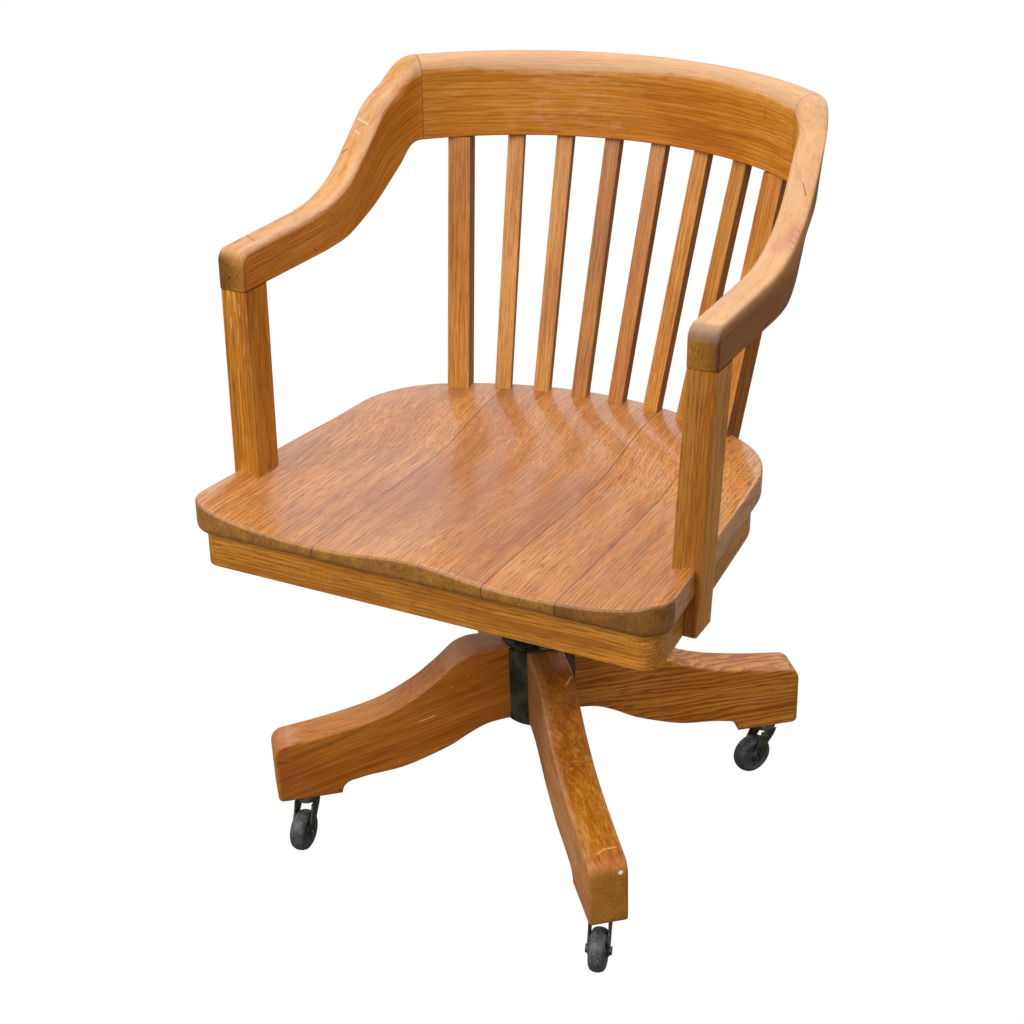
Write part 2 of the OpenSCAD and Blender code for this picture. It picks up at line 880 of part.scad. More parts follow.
// Tension spring: one unbroken tube that climbs as a helix under the head's ear
spring_rings = 8 * spring_turns;
wire_sides = 6;
spring_climb = spring_l - wire_d;
function coil_centre(i) = let (a = 360 * i / 8) [
    spring_r * cos(a), spring_r * sin(a), spring_low + wire_d / 2 + spring_climb * i / spring_rings
];
function wire_ring(i) = let (a = 360 * i / 8, c = coil_centre(i)) [
    for (k = [0:wire_sides - 1])
        let (b = 360 * k / wire_sides, out = wire_d / 2 * cos(b), up = wire_d / 2 * sin(b))
        [c.x + out * cos(a), c.y + out * sin(a), c.z + up]
];
spring_self_gap = min([
    for (i = [0:spring_rings - 6], j = [i + 6:spring_rings])
        norm(coil_centre(i) - coil_centre(j)) - wire_d
]);
echo("least gap of the tension spring to itself, mm", spring_self_gap);
module tension_spring() {
    m = wire_sides;
    color("dimgray")
        placed()
            translate([0, rod_y, 0])
                polyhedron(
                    [for (i = [0:spring_rings]) each wire_ring(i)],
                    concat(
                        [[for (k = [0:m - 1]) k]],
                        [
                            for (i = [0:spring_rings - 1], k = [0:m - 1])
                                let (a = i * m + k, b = i * m + (k + 1) % m)
                                each [[a, a + m, b + m], [a, b + m, b]]
                        ],
                        [[for (k = [m - 1:-1:0]) spring_rings * m + k]]
                    )
                );
}
module tension_washer() {
    color("gainsboro")
        placed()
            translate([0, rod_y, knob_top])
                difference() {
                    cylinder(r = spring_r + wire_d / 2 + 1, h = washer_th, $fn = fine);
                    translate([0, 0, -1])
                        cylinder(r = rod_r + running, h = washer_th + 2, $fn = fine);
                }
}
module tension_knob() {
    lobes = 8;
    color("black")
        placed()
            translate([0, rod_y, knob_top - knob_h])
                difference() {
                    cylinder(r = knob_r, h = knob_h, $fn = fine);
                    translate([0, 0, -1])
                        cylinder(r = rod_r + running, h = knob_h + 2, $fn = fine);
                    for (i = [0:lobes - 1])
                        rotate([0, 0, 360 * i / lobes])
                            translate([knob_r + 3, 0, -1])
                                cylinder(r = 6, h = knob_h + 2, $fn = coarse);
                }
}

// Screw post, its nut and the washer that the nut turns on
module screw_post() {
    color("slategray")
        placed()
            translate([0, 0, spindle_low])
                cylinder(r = spindle_r, h = socket_top - spindle_low, $fn = fine);
}
module height_nut() {
    flange_h = nut_h * 0.3;
    color("darkslategray")
        placed()
            translate([0, 0, nut_low])
                difference() {
                    union() {
                        cylinder(r = nut_w / 2 + 4, h = flange_h, $fn = fine);
                        cylinder(r = nut_w / 2, h = nut_h, $fn = 6);
                    }
                    translate([0, 0, -1])
                        cylinder(r = spindle_r + running, h = nut_h + 2, $fn = fine);
                }
}
module thrust_washer() {
    color("silver")
        placed()
            translate([0, 0, cover_top])
                difference() {
                    cylinder(r = nut_w / 2 + 2, h = thrust_th, $fn = fine);
                    translate([0, 0, -1])
                        cylinder(r = hub_bore_r, h = thrust_th + 2, $fn = fine);
                }
}

// Hub: an iron column with four flat pockets for the legs
module leg_pockets() {
    for (a = leg_turns)
        rotate([0, 0, a])
            translate([pocket_r, -leg_th / 2, hub_bottom - 1])
                cube([hub_r, leg_th, hub_top - hub_bottom + 2]);
}
module hub() {
    color("darkslategray")
        placed()
            difference() {
                translate([0, 0, hub_bottom])
                    cylinder(r = hub_r, h = hub_top - hub_bottom, $fn = fine);
                translate([0, 0, hub_bottom - 1])
                    cylinder(r = hub_bore_r, h = hub_top - hub_bottom + 2, $fn = fine);
                leg_pockets();
            }
}
module hub_sleeve() {
    color("darkgoldenrod")
        placed()
            translate([0, 0, hub_bottom])
                difference() {
                    cylinder(r = hub_bore_r, h = hub_top - hub_bottom, $fn = fine);
                    translate([0, 0, -1])
                        cylinder(r = spindle_r + running, h = hub_top - hub_bottom + 2, $fn = fine);
                }
}
module screw_ring_at(z, r, h) {
    for (a = leg_turns)
        rotate([0, 0, a])
            translate([screw_ring, 0, z])
                cylinder(r = r, h = h, $fn = coarse);
}
module cover_plate(z) {
    color("darkslategray")
        placed()
            difference() {
                translate([0, 0, z])
                    cylinder(r = plate_r, h = plate_th, $fn = fine);
                translate([0, 0, z - 1])
                    cylinder(r = hub_bore_r, h = plate_th + 2, $fn = fine);
                screw_ring_at(z - 1, leg_screw_r, plate_th + 2);
            }
}
leg_screw_r = 3;
leg_screw_l = 32;
module hub_top_plate() {
    cover_plate(hub_top);
}
module hub_bottom_plate() {
    cover_plate(hub_bottom - plate_th);
}
module leg_screws() {
    head_h = 2.2;
    color("gray")
        placed() {
            screw_ring_at(cover_top, leg_screw_r + 3, head_h);
            screw_ring_at(hub_top - leg_screw_l, leg_screw_r, leg_screw_l + plate_th + 1);
            screw_ring_at(hub_bottom - plate_th - head_h, leg_screw_r + 3, head_h);
            screw_ring_at(hub_bottom - plate_th - 1, leg_screw_r, leg_screw_l + plate_th + 1);
        }
}

// Legs: flat ogee boards with a pad under the end
leg_top_shape = [[0, 0], [0.08, 0.07], [0.18, 0.29], [0.31, 0.53], [0.47, 0.735], [0.63, 0.85], [0.81, 0.935], [1, 1]];
leg_under_shape = [[0, 0], [0.1, 0.06], [0.3, 0.13], [0.47, 0.3], [0.63, 0.51], [0.76, 0.76], [0.88, 0.94], [1, 1]];
leg_flat = 78;
leg_nose_r = 16;
pad_cove_r = 16;
toe_r = 6;
module leg_side() {
    end_top = pad_z + leg_end_h;
    pad_start = leg_reach - pad_l;
    top_line = ogee([leg_flat, hub_top], [leg_reach - leg_nose_r, end_top], leg_top_shape, 4);
    nose = arc([leg_reach - leg_nose_r, end_top - leg_nose_r], leg_nose_r, 90, 0, 6);
    toe = arc([leg_reach - toe_r, pad_z + toe_r], toe_r, 0, -90, 4);
    cove = arc([pad_start - pad_cove_r, pad_z], pad_cove_r, 0, 90, 6);
    under_line = ogee(
        [pad_start - pad_cove_r, pad_z + pad_cove_r], [hub_r, hub_bottom], leg_under_shape, 4
    );
    polygon(concat(
        [[pocket_r, hub_bottom], [pocket_r, hub_top]],
        top_line,
        [for (i = [1:len(nose) - 1]) nose[i]],
        toe,
        cove,
        [for (i = [1:len(under_line) - 1]) under_line[i]]
    ));
}
module leg(k) {
    color("sienna")
        placed()
            rotate([0, 0, leg_turns[k]])
                difference() {
                    translate([0, leg_th / 2, 0])
                        rotate([90, 0, 0])
                            linear_extrude(leg_th)
                                leg_side();
                    translate([stem_reach, 0, pad_z - 1])
                        cylinder(r = stem_r + running + socket_wall, h = stem_l + 3, $fn = fine);
                    for (z = [hub_top - leg_screw_l, hub_bottom])
                        translate([screw_ring, 0, z])
                            cylinder(r = leg_screw_r, h = leg_screw_l, $fn = coarse);
                }
}
module caster_sockets() {
    color("silver")
        placed()
            for (a = leg_turns)
                rotate([0, 0, a])
                    translate([stem_reach, 0, pad_z])
                        difference() {
                            cylinder(r = stem_r + running + socket_wall, h = stem_l + 2, $fn = fine);
                            translate([0, 0, -1])
                                cylinder(r = stem_r + running, h = stem_l + 2.5, $fn = fine);
                        }
}

// Casters, drawn with the stem at the origin and the wheel trailing along +X
module at_caster(k) {
    a = leg_turns[k];
    placed()
        translate([stem_reach * cos(a), stem_reach * sin(a), 0])
            rotate([0, 0, trails[k]])
                children();
}
module cheek_plan() {
    difference() {
        union() {
            polygon([[-cap_r + 4, crown_z], [cap_r - 2, crown_z], [trail + 6, wheel_r + 1], [trail - 6, wheel_r - 1]]);
            translate([trail, wheel_r])
                circle(r = cheek_end_r, $fn = coarse);
        }
        translate([trail, wheel_r])
            circle(r = axle_r, $fn = fine);
    }
}
module caster_fork(k) {
    color("dimgray")
        at_caster(k) {
            translate([0, 0, pad_z - 1])
                cylinder(r = stem_r, h = stem_l, $fn = fine);
            rotate_extrude($fn = fine)
                polygon([
                    [0, crown_z], [cap_r, crown_z], [cap_r, crown_z + 4], [cap_r - 2, crown_z + 8],
                    [cap_r - 6, pad_z - face_gap], [0, pad_z - face_gap]
                ]);
            for (side = [-1, 1])
                translate([0, side * (fork_in + cheek_th / 2) + cheek_th / 2, 0])
                    rotate([90, 0, 0])
                        linear_extrude(cheek_th)
                            cheek_plan();
        }
}
module caster_axle(k) {
    color("silver")
        at_caster(k)
            translate([trail, 0, wheel_r])
                rotate([90, 0, 0]) {
                    cylinder(r = axle_r, h = 2 * (fork_in + cheek_th), center = true, $fn = fine);
                    for (side = [-1, 1])
                        translate([0, 0, side * (rivet_half + fork_in + cheek_th) / 2])
                            cylinder(r = axle_r + 1.8, h = rivet_half - fork_in - cheek_th, center = true, $fn = coarse);
                }
}
module caster_wheel(k) {
    crown = 2.4;
    color("black")
        at_caster(k)
            translate([trail, 0, wheel_r])
                rotate([90, 0, 0])
                    rotate_extrude($fn = fine)
                        polygon([
                            [axle_r + running, -wheel_w / 2], [wheel_r - 7, -wheel_w / 2],
                            [wheel_r - crown - 1, -wheel_w / 2 + 2], [wheel_r - crown / 3, -wheel_w / 4],
                            [wheel_r, -2], [wheel_r, 2],
                            [wheel_r - crown / 3, wheel_w / 4], [wheel_r - crown - 1, wheel_w / 2 - 2],
                            [wheel_r - 7, wheel_w / 2], [axle_r + running, wheel_w / 2]
                        ]);
}

seat_board(0);  // seat_board_1
seat_board(1);  // seat_board_2
seat_board(2);  // seat_board_3
seat_board(3);  // seat_board_4
apron_front();
apron_back();
apron_left();
apron_right();
corner_blocks();
block_screws();
arm_post(-1);  // arm_post_left
arm_post(1);  // arm_post_right
stile(-1);  // stile_left
stile(1);  // stile_right
slat(1);  // slat_1
slat(2);  // slat_2
slat(3);  // slat_3
slat(4);  // slat_4
slat(5);  // slat_5
slat(6);  // slat_6
crest_rail();
arm(-1);  // arm_left
arm(1);  // arm_right
bow_dowels();
seat_iron(-1);  // seat_iron_left
seat_iron(1);  // seat_iron_right
seat_screws();
tilt_pivot_pin();
anchor_pin();
tilt_head();
tension_rod();
tension_spring();
tension_washer();
tension_knob();
screw_post();
height_nut();
thrust_washer();
hub();
hub_sleeve();
hub_top_plate();
hub_bottom_plate();
leg_screws();
leg(0);  // leg_front
leg(1);  // leg_right
leg(2);  // leg_back
leg(3);  // leg_left
caster_sockets();
caster_fork(0);  // caster_fork_front
caster_fork(1);  // caster_fork_right
caster_fork(2);  // caster_fork_back
caster_fork(3);  // caster_fork_left
caster_axle(0);  // caster_axle_front
caster_axle(1);  // caster_axle_right
caster_axle(2);  // caster_axle_back
caster_axle(3);  // caster_axle_left
caster_wheel(0);  // caster_wheel_front
caster_wheel(1);  // caster_wheel_right
caster_wheel(2);  // caster_wheel_back
caster_wheel(3);  // caster_wheel_left
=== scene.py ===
"""Swivel and tilt desk armchair in varnished oak, rebuilt over its CAD frame.

Lengths below are millimetres in the chair's own upright frame, the frame of the drawings: +X to
the right as seen from the front, -Y to the front, Z up, the swivel axis at X = Y = 0.
place_base() and place_seat() turn them into the shared frame in metres.
"""

from math import asin, atan2, cos, degrees, exp, pi, radians, sin, sqrt, tan

import bmesh
import bpy
import numpy as np
from mathutils import Matrix, Vector


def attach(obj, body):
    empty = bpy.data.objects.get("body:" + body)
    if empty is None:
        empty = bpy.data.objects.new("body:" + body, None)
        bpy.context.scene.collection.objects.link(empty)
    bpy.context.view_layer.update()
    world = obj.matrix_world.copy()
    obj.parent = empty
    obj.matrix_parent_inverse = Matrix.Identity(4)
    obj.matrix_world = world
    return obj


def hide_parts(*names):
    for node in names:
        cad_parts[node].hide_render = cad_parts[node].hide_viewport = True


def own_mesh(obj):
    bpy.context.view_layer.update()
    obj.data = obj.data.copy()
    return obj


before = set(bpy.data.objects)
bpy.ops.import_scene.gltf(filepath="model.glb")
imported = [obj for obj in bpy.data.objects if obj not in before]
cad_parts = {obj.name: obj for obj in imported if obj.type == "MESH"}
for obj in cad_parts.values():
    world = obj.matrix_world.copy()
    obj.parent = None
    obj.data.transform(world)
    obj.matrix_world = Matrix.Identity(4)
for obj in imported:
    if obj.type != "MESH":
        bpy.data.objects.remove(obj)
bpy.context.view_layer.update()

# ---- the frame of the drawings

ORIGIN_Y = -20.020326  # Y of the swivel axis in the shared frame
PIVOT_Z = 388.0  # height of the tilt pivot
REST_TILT = radians(3)  # lean of the empty chair on its stop
GLUE = (-112.0, 79.0, 156.0)  # glue lines between the seat's boards, as X
# How far X = 0 and the seat's rim are from the pith of each board.
PITHS = ((420.0, 60.0), (-330.0, 25.0), (270.0, 90.0), (-380.0, 45.0))


def place_base(p):
    """Points of the base, in metres in the shared frame."""
    q = np.array(p, float).reshape(-1, 3).copy()
    q[:, 1] += ORIGIN_Y
    return q / 1000


def place_seat(p):
    """Points of the seat and of what stands on it: leant back by the rest tilt about the pivot."""
    q = np.array(p, float).reshape(-1, 3)
    y, z = q[:, 1], q[:, 2] - PIVOT_Z
    out = np.empty_like(q)
    out[:, 0] = q[:, 0]
    out[:, 1] = y * cos(REST_TILT) + z * sin(REST_TILT) + ORIGIN_Y
    out[:, 2] = PIVOT_Z - y * sin(REST_TILT) + z * cos(REST_TILT)
    return out / 1000


# ---- helpers for node trees

def linear(code):
    """An sRGB hex colour as linear red, green, blue and alpha."""
    parts = [int(code[i:i + 2], 16) / 255 for i in (1, 3, 5)]
    return tuple(c / 12.92 if c <= 0.04045 else ((c + 0.055) / 1.055) ** 2.4 for c in parts) + (1.0,)


class Nodes:
    """A node tree with short calls that add linked nodes; a value is a socket or a constant."""

    def __init__(self, tree):
        self.tree = tree

    def put(self, socket, value):
        """Links an output to a socket, or sets the socket's own value."""
        if isinstance(value, bpy.types.NodeSocket):
            self.tree.links.new(value, socket)
        else:
            socket.default_value = value

    def node(self, kind, *values, **named):
        """A new node: values go to its first inputs in order, named ones to the input of that name."""
        made = self.tree.nodes.new("ShaderNode" + kind)
        for socket, value in zip(made.inputs, values):
            self.put(socket, value)
        for key, value in named.items():
            self.put(made.inputs[key.replace("_", " ")], value)
        return made

    def math(self, operation, a, b=0.0, c=0.0):
        made = self.node("Math", a, b, c)
        made.operation = operation
        return made.outputs[0]

    def times(self, a, b):
        return self.math("MULTIPLY", a, b)

    def vector(self, operation, a, b, output="Vector"):
        made = self.node("VectorMath", a, b)
        made.operation = operation
        return made.outputs[output]

    def place(self):
        """The place on the object, in millimetres."""
        return self.vector("MULTIPLY", self.node("TexCoord").outputs["Object"], (1000,) * 3)

    def noise(self, vector, cell, detail=2.0, roughness=0.5, distortion=0.0):
        """Noise with cells of a size in mm, along X, Y and Z; the last size stands for those left out."""
        size = tuple(1 / v for v in (cell[0], cell[1], cell[-1]))
        return self.node("TexNoise", Vector=self.vector("MULTIPLY", vector, size), Scale=1.0,
                         Detail=detail, Roughness=roughness, Distortion=distortion).outputs["Fac"]

    def span(self, value, low, high, to_low=0.0, to_high=1.0):
        """Smooth step from to_low, where a value is low, to to_high, where it is high."""
        made = self.node("MapRange", Value=value, From_Min=low, From_Max=high,
                         To_Min=to_low, To_Max=to_high)
        made.interpolation_type = "SMOOTHSTEP"
        return made.outputs["Result"]

    def mix(self, share, a, b, blend="MIX"):
        made = self.node("Mix")
        made.data_type = "RGBA"
        made.blend_type = blend
        for i, value in ((0, share), (6, a), (7, b)):
            self.put(made.inputs[i], value)
        return made.outputs[2]

    def ramp(self, value, stops):
        """A colour from stops of place and hex colour."""
        made = self.node("ValToRGB", value)
        elements = made.color_ramp.elements
        while len(elements) < len(stops):
            elements.new(0.5)
        for element, (at, code) in zip(elements, stops):
            element.position = at
            element.color = linear(code)
        return made.outputs["Color"]

    def attribute(self, name):
        made = self.node("Attribute")
        made.attribute_name = name
        return made

    def white_to_camera(self, shader, white, output):
        """Leaves a shader to light and reflections, and shows plain white to the camera."""
        seen = self.node(white, Color=(1, 1, 1, 1), Strength=1.0)
        camera_ray = self.node("LightPath").outputs["Is Camera Ray"]
        mix = self.node("MixShader", camera_ray, shader, seen.outputs[0])
        self.put(self.tree.nodes[output].inputs["Surface"], mix.outputs[0])


class Shader(Nodes):
    """The node tree of a new material."""

    def __init__(self, name):
        self.material = bpy.data.materials.new(name)
        self.material.use_nodes = True
        super().__init__(self.material.node_tree)
        self.surface = self.tree.nodes["Principled BSDF"]

    def set(self, **values):
        """Puts values on the surface's sockets, named with underscores for spaces."""
        for key, value in values.items():
            self.put(self.surface.inputs[key.replace("_", " ")], value)

    def bump(self, height, distance, strength):
        made = self.node("Bump", Height=height, Distance=distance, Strength=strength)
        self.set(Normal=made.outputs["Normal"])


# ---- objects, camera, light and floor

def add_object(name, data):
    """An object with its data, put in the scene."""
    made = bpy.data.objects.new(name, data)
    bpy.context.scene.collection.objects.link(made)
    return made


def new_mesh(name, points, faces):
    """A mesh from points in metres and faces."""
    mesh = bpy.data.meshes.new(name)
    mesh.from_pydata([tuple(p) for p in points], [], faces)
    return mesh


CAMERA_TURN = (27.996, 28.466, -2.109)  # azimuth, elevation and roll, in degrees
CAMERA_AIM = (-17.925, -17.173 + ORIGIN_Y, 400.0)
CAMERA_AWAY = 1.96359  # metres
FOCAL_PIXELS, PHOTO_PIXELS, SENSOR = 1786.76, 1024, 36.0
FLOOR_REACH = 9.0  # metres


def camera_axes(azimuth, elevation, roll):
    """Right, up and backward directions of a camera that looks at the chair from that side."""
    a, e, r = radians(azimuth), radians(elevation), radians(roll)
    back = np.array([sin(a) * cos(e), -cos(a) * cos(e), sin(e)])
    right = np.cross(-back, [0, 0, 1.0])
    right /= np.linalg.norm(right)
    up = np.cross(back, right)
    return cos(r) * right + sin(r) * up, cos(r) * up - sin(r) * right, back


def add_camera():
    """Camera at the photograph's viewing angle: 62.8 mm lens on a 36 mm square frame."""
    right, up, back = camera_axes(*CAMERA_TURN)
    target = np.array(CAMERA_AIM) / 1000
    data = bpy.data.cameras.new("photo_camera")
    data.sensor_fit = "HORIZONTAL"
    data.sensor_width = SENSOR
    data.lens = SENSOR * FOCAL_PIXELS / PHOTO_PIXELS
    data.clip_end = 50
    camera = add_object("photo_camera", data)
    turn = Matrix([[right[i], up[i], back[i]] for i in range(3)])
    camera.matrix_world = Matrix.Translation(Vector(target + back * CAMERA_AWAY)) @ turn.to_4x4()
    bpy.context.scene.camera = camera
    bpy.context.scene.view_settings.view_transform = "Standard"


def add_area_light(name, size, power, place, aim, tint):
    """Soft light: a square panel at a place, turned to face a point."""
    data = bpy.data.lights.new(name, "AREA")
    data.shape, data.size, data.energy, data.color = "SQUARE", size, power, tint
    turn = (Vector(place) - Vector(aim)).to_track_quat("Z", "Y").to_matrix().to_4x4()
    add_object(name, data).matrix_world = Matrix.Translation(Vector(place)) @ turn


def add_world(low, high):
    """Overcast sky: bright overhead and dim near the horizon, white where the camera sees it.

    Reflections see it nearly twice as bright.
    """
    world = bpy.data.worlds.new("overcast_sky")
    world.use_nodes = True
    s = Nodes(world.node_tree)
    sky = s.tree.nodes["Background"]
    sky.inputs["Color"].default_value = linear("#FBFCFF")
    way = s.node("SeparateXYZ", Vector=s.node("TexCoord").outputs["Generated"])
    rise = s.node("MapRange", Value=way.outputs["Z"], From_Min=0.0, From_Max=0.8,
                  To_Min=low, To_Max=high).outputs["Result"]
    glossy_ray = s.node("LightPath").outputs["Is Glossy Ray"]
    s.put(sky.inputs["Strength"], s.times(rise, s.math("MULTIPLY_ADD", glossy_ray, 0.9, 1.0)))
    s.white_to_camera(sky.outputs[0], "Background", "World Output")
    bpy.context.scene.world = world


def add_floor():
    """Plain pale floor, white to the camera and a soft reflector to the chair."""
    r = FLOOR_REACH
    corners = [(-r, -r, 0), (r, -r, 0), (r, r, 0), (-r, r, 0)]
    floor = add_object("studio_floor", new_mesh("studio_floor", corners, [(0, 1, 2, 3)]))
    s = Shader("white_floor")
    s.set(Base_Color=linear("#776D60"), Roughness=0.9)
    s.white_to_camera(s.surface.outputs[0], "Emission", "Material Output")
    floor.data.materials.append(s.material)


# ---- oak

def oak_colour(s, grain, tone, look):
    """Colour and relief of varnished oak, from the place in the board, in millimetres.

    X runs along the grain; Y and Z are the distances from the pith the board was sawn beside, so
    growth rings are circles round X. Short dark pores, ray flecks across the grain and a slow drift
    of tone go over them. tone is wear with painted sheen on some tops, end grain, dirt with painted
    shade, and redness, each from 0 to 1.
    """
    slow = s.noise(grain, (190, 60))
    bands = s.noise(grain, (300, 9), 3.0, 0.62, 0.3)
    fine = s.noise(grain, (80, 2.3), 3.0, 0.62)
    rings = growth_rings(s, grain, look["ring"])
    dashes = s.noise(grain, (24, 1.15), 1.0, 0.5, 0.15)
    pores = s.span(s.math("MULTIPLY_ADD", rings, 0.1, dashes), 0.56, 0.68)
    figure = s.math("ADD", s.times(bands, 0.5), s.times(fine, 0.5))
    figure = s.math("MULTIPLY_ADD", s.math("SUBTRACT", slow, 0.5), 0.45, figure)
    figure = s.math("MULTIPLY_ADD", rings, -look["rings"], figure)
    colour = s.ramp(figure, [(0.32, look["deep"]), (0.47, look["mid"]), (0.62, look["pale"])])
    colour = s.mix(s.times(ray_flecks(s, grain), look["fleck"]), colour, linear(look["pale"]))
    colour = s.mix(s.times(pores, look["pores"]), colour, linear(look["pore"]))
    worn_edge = s.math("SUBTRACT", s.noise(grain, (30, 9), 3.0, 0.65), 0.5)
    wear = s.span(s.math("ADD", tone["worn"], worn_edge), 0.32, 0.95)
    worn_share = s.math("MULTIPLY_ADD", pores, 0.12, s.times(fine, 0.55))
    colour = s.mix(s.times(wear, 0.8), colour, s.mix(worn_share, linear(look["worn"]), colour))
    colour = s.mix(s.times(tone["end"], 0.88), colour, end_grain(s, grain, look))
    colour = s.mix(s.times(tone["red"], 0.6), colour, linear(look["red"]))
    # The third tone channel multiplies in the dirt colour: real dirt at joints and ends, and painted shade on
    # bar sides, arm outer faces and the front leg by the hub.
    colour = s.mix(tone["grime_and_shade"], colour, s.mix(1.0, colour, linear(look["dirt"]), "MULTIPLY"))
    if look["glue"]:
        colour = s.mix(s.times(glue_lines(s, grain, look["glue"]), 0.8), colour, linear("#4A2A12"))
    for start, end, width, strength, code in look["marks"]:
        colour = s.mix(s.times(mark(s, grain, start, end, width), strength), colour, linear(code))
    relief = s.math("SUBTRACT", s.times(fine, 0.5), pores)
    return colour, relief, wear


def growth_rings(s, grain, width):
    """Growth rings, from 0 in the early wood rising to 1 in the late wood of each ring."""
    split = s.node("SeparateXYZ", Vector=grain)
    y, z = split.outputs[1], split.outputs[2]
    out = s.math("SQRT", s.math("ADD", s.times(y, y), s.times(z, z)))
    waver = s.noise(grain, (150, 26), 2.0, 0.55)
    phase = s.math("FRACT", s.math("MULTIPLY_ADD", waver, 3.6, s.math("DIVIDE", out, width)))
    return s.times(s.span(phase, 0.25, 0.86), s.math("SUBTRACT", 1.0, s.span(phase, 0.9, 1.0)))


def ray_flecks(s, grain):
    """Short pale strokes across the grain, in patches, where the saw ran along the rays."""
    strokes = s.noise(grain, (2.6, 13), 2.0, 0.6, 0.9)
    patch = s.noise(grain, (90, 45))
    return s.times(s.span(strokes, 0.56, 0.66), s.span(patch, 0.42, 0.6))


def glue_lines(s, grain, places):
    """Thin dark lines of glue and dirt where two boards meet, at their distances across the grain."""
    across = s.node("SeparateXYZ", Vector=grain).outputs[1]
    nearest = 9.0
    for place in places:
        away = s.math("ABSOLUTE", s.math("SUBTRACT", across, place))
        nearest = s.math("MINIMUM", nearest, away)
    return s.math("SUBTRACT", 1.0, s.span(nearest, 0.3, 1.1))


def end_grain(s, grain, look):
    """Ends of the pores: fine speckle drawn out along the rings."""
    speckle = s.noise(grain, (60, 1.7, 3.4), 3.0, 0.62)
    stain = s.noise(grain, (60, 16))
    mixed = s.math("ADD", s.times(speckle, 0.6), s.times(stain, 0.4))
    return s.ramp(mixed, [(0.36, look["end_deep"]), (0.6, look["end"])])


def mark(s, grain, start, end, width):
    """A scratch, chip or dent: 1 on the line from start to end, 0 beyond its width, in the grain's frame."""
    a, b = np.array(start, float), np.array(end, float)
    way = b - a
    offset = s.vector("ADD", grain, tuple(-a))
    share = s.vector("DOT_PRODUCT", offset, tuple(way / max(way @ way, 1e-6)), "Value")
    share = s.math("MINIMUM", s.math("MAXIMUM", share, 0.0), 1.0)
    along = s.node("CombineXYZ", X=share, Y=share, Z=share).outputs[0]
    apart = s.vector("DISTANCE", offset, s.vector("MULTIPLY", along, tuple(way)), "Value")
    return s.math("SUBTRACT", 1.0, s.span(apart, 0.4 * width, width))


def oak(name, look):
    """Oak boards, sawn, shaped, stained honey and varnished, with wear through the varnish.

    The grain attribute carries each point's place in its own board, the tone attribute its wear and dirt,
    with painted shade and sheen.
    """
    s = Shader(name)
    tone = s.attribute("tone")
    split = s.node("SeparateColor", Color=tone.outputs["Color"]).outputs
    parts = {"worn": split[0], "end": split[1], "grime_and_shade": split[2], "red": tone.outputs["Alpha"]}
    return finish_oak(s, s.attribute("grain").outputs["Vector"], parts, look)


def oak_of_node(name, look, along, seed):
    """Oak for a board of the frame that is shown as it is, its grain along X or Y."""
    s = Shader(name)
    split = s.node("SeparateXYZ", Vector=s.place()).outputs
    order = (0, 1, 2) if along == "x" else (1, 0, 2)
    turned = s.node("CombineXYZ", **dict(zip("XYZ", (split[i] for i in order)))).outputs[0]
    grain = s.vector("ADD", turned, (seed * 1310.0, seed * 77.0, seed * 131.0))
    return finish_oak(s, grain, {"worn": 0.25, "end": 0.0, "grime_and_shade": 0.0, "red": 0.0}, look)


def finish_oak(s, grain, tone, look):
    """Varnish over the oak: gloss where it is whole, duller where it is worn, dirty, painted in shade or end
    grain.
    """
    colour, relief, wear = oak_colour(s, grain, tone, look)
    kept = s.math("SUBTRACT", 1.0, s.math("MAXIMUM", s.times(wear, 0.7), tone["end"]))
    s.set(Base_Color=colour, Roughness=s.math("ADD", look["rough"], s.times(wear, 0.14)),
          Specular_IOR_Level=look["gloss"], IOR=1.5, Coat_Weight=s.times(kept, look["coat"]),
          Coat_Roughness=s.math("MULTIPLY_ADD", tone["grime_and_shade"], 1.1, look["coat_rough"]))
    s.bump(relief, 0.0004, look["bump"])
    return s.material
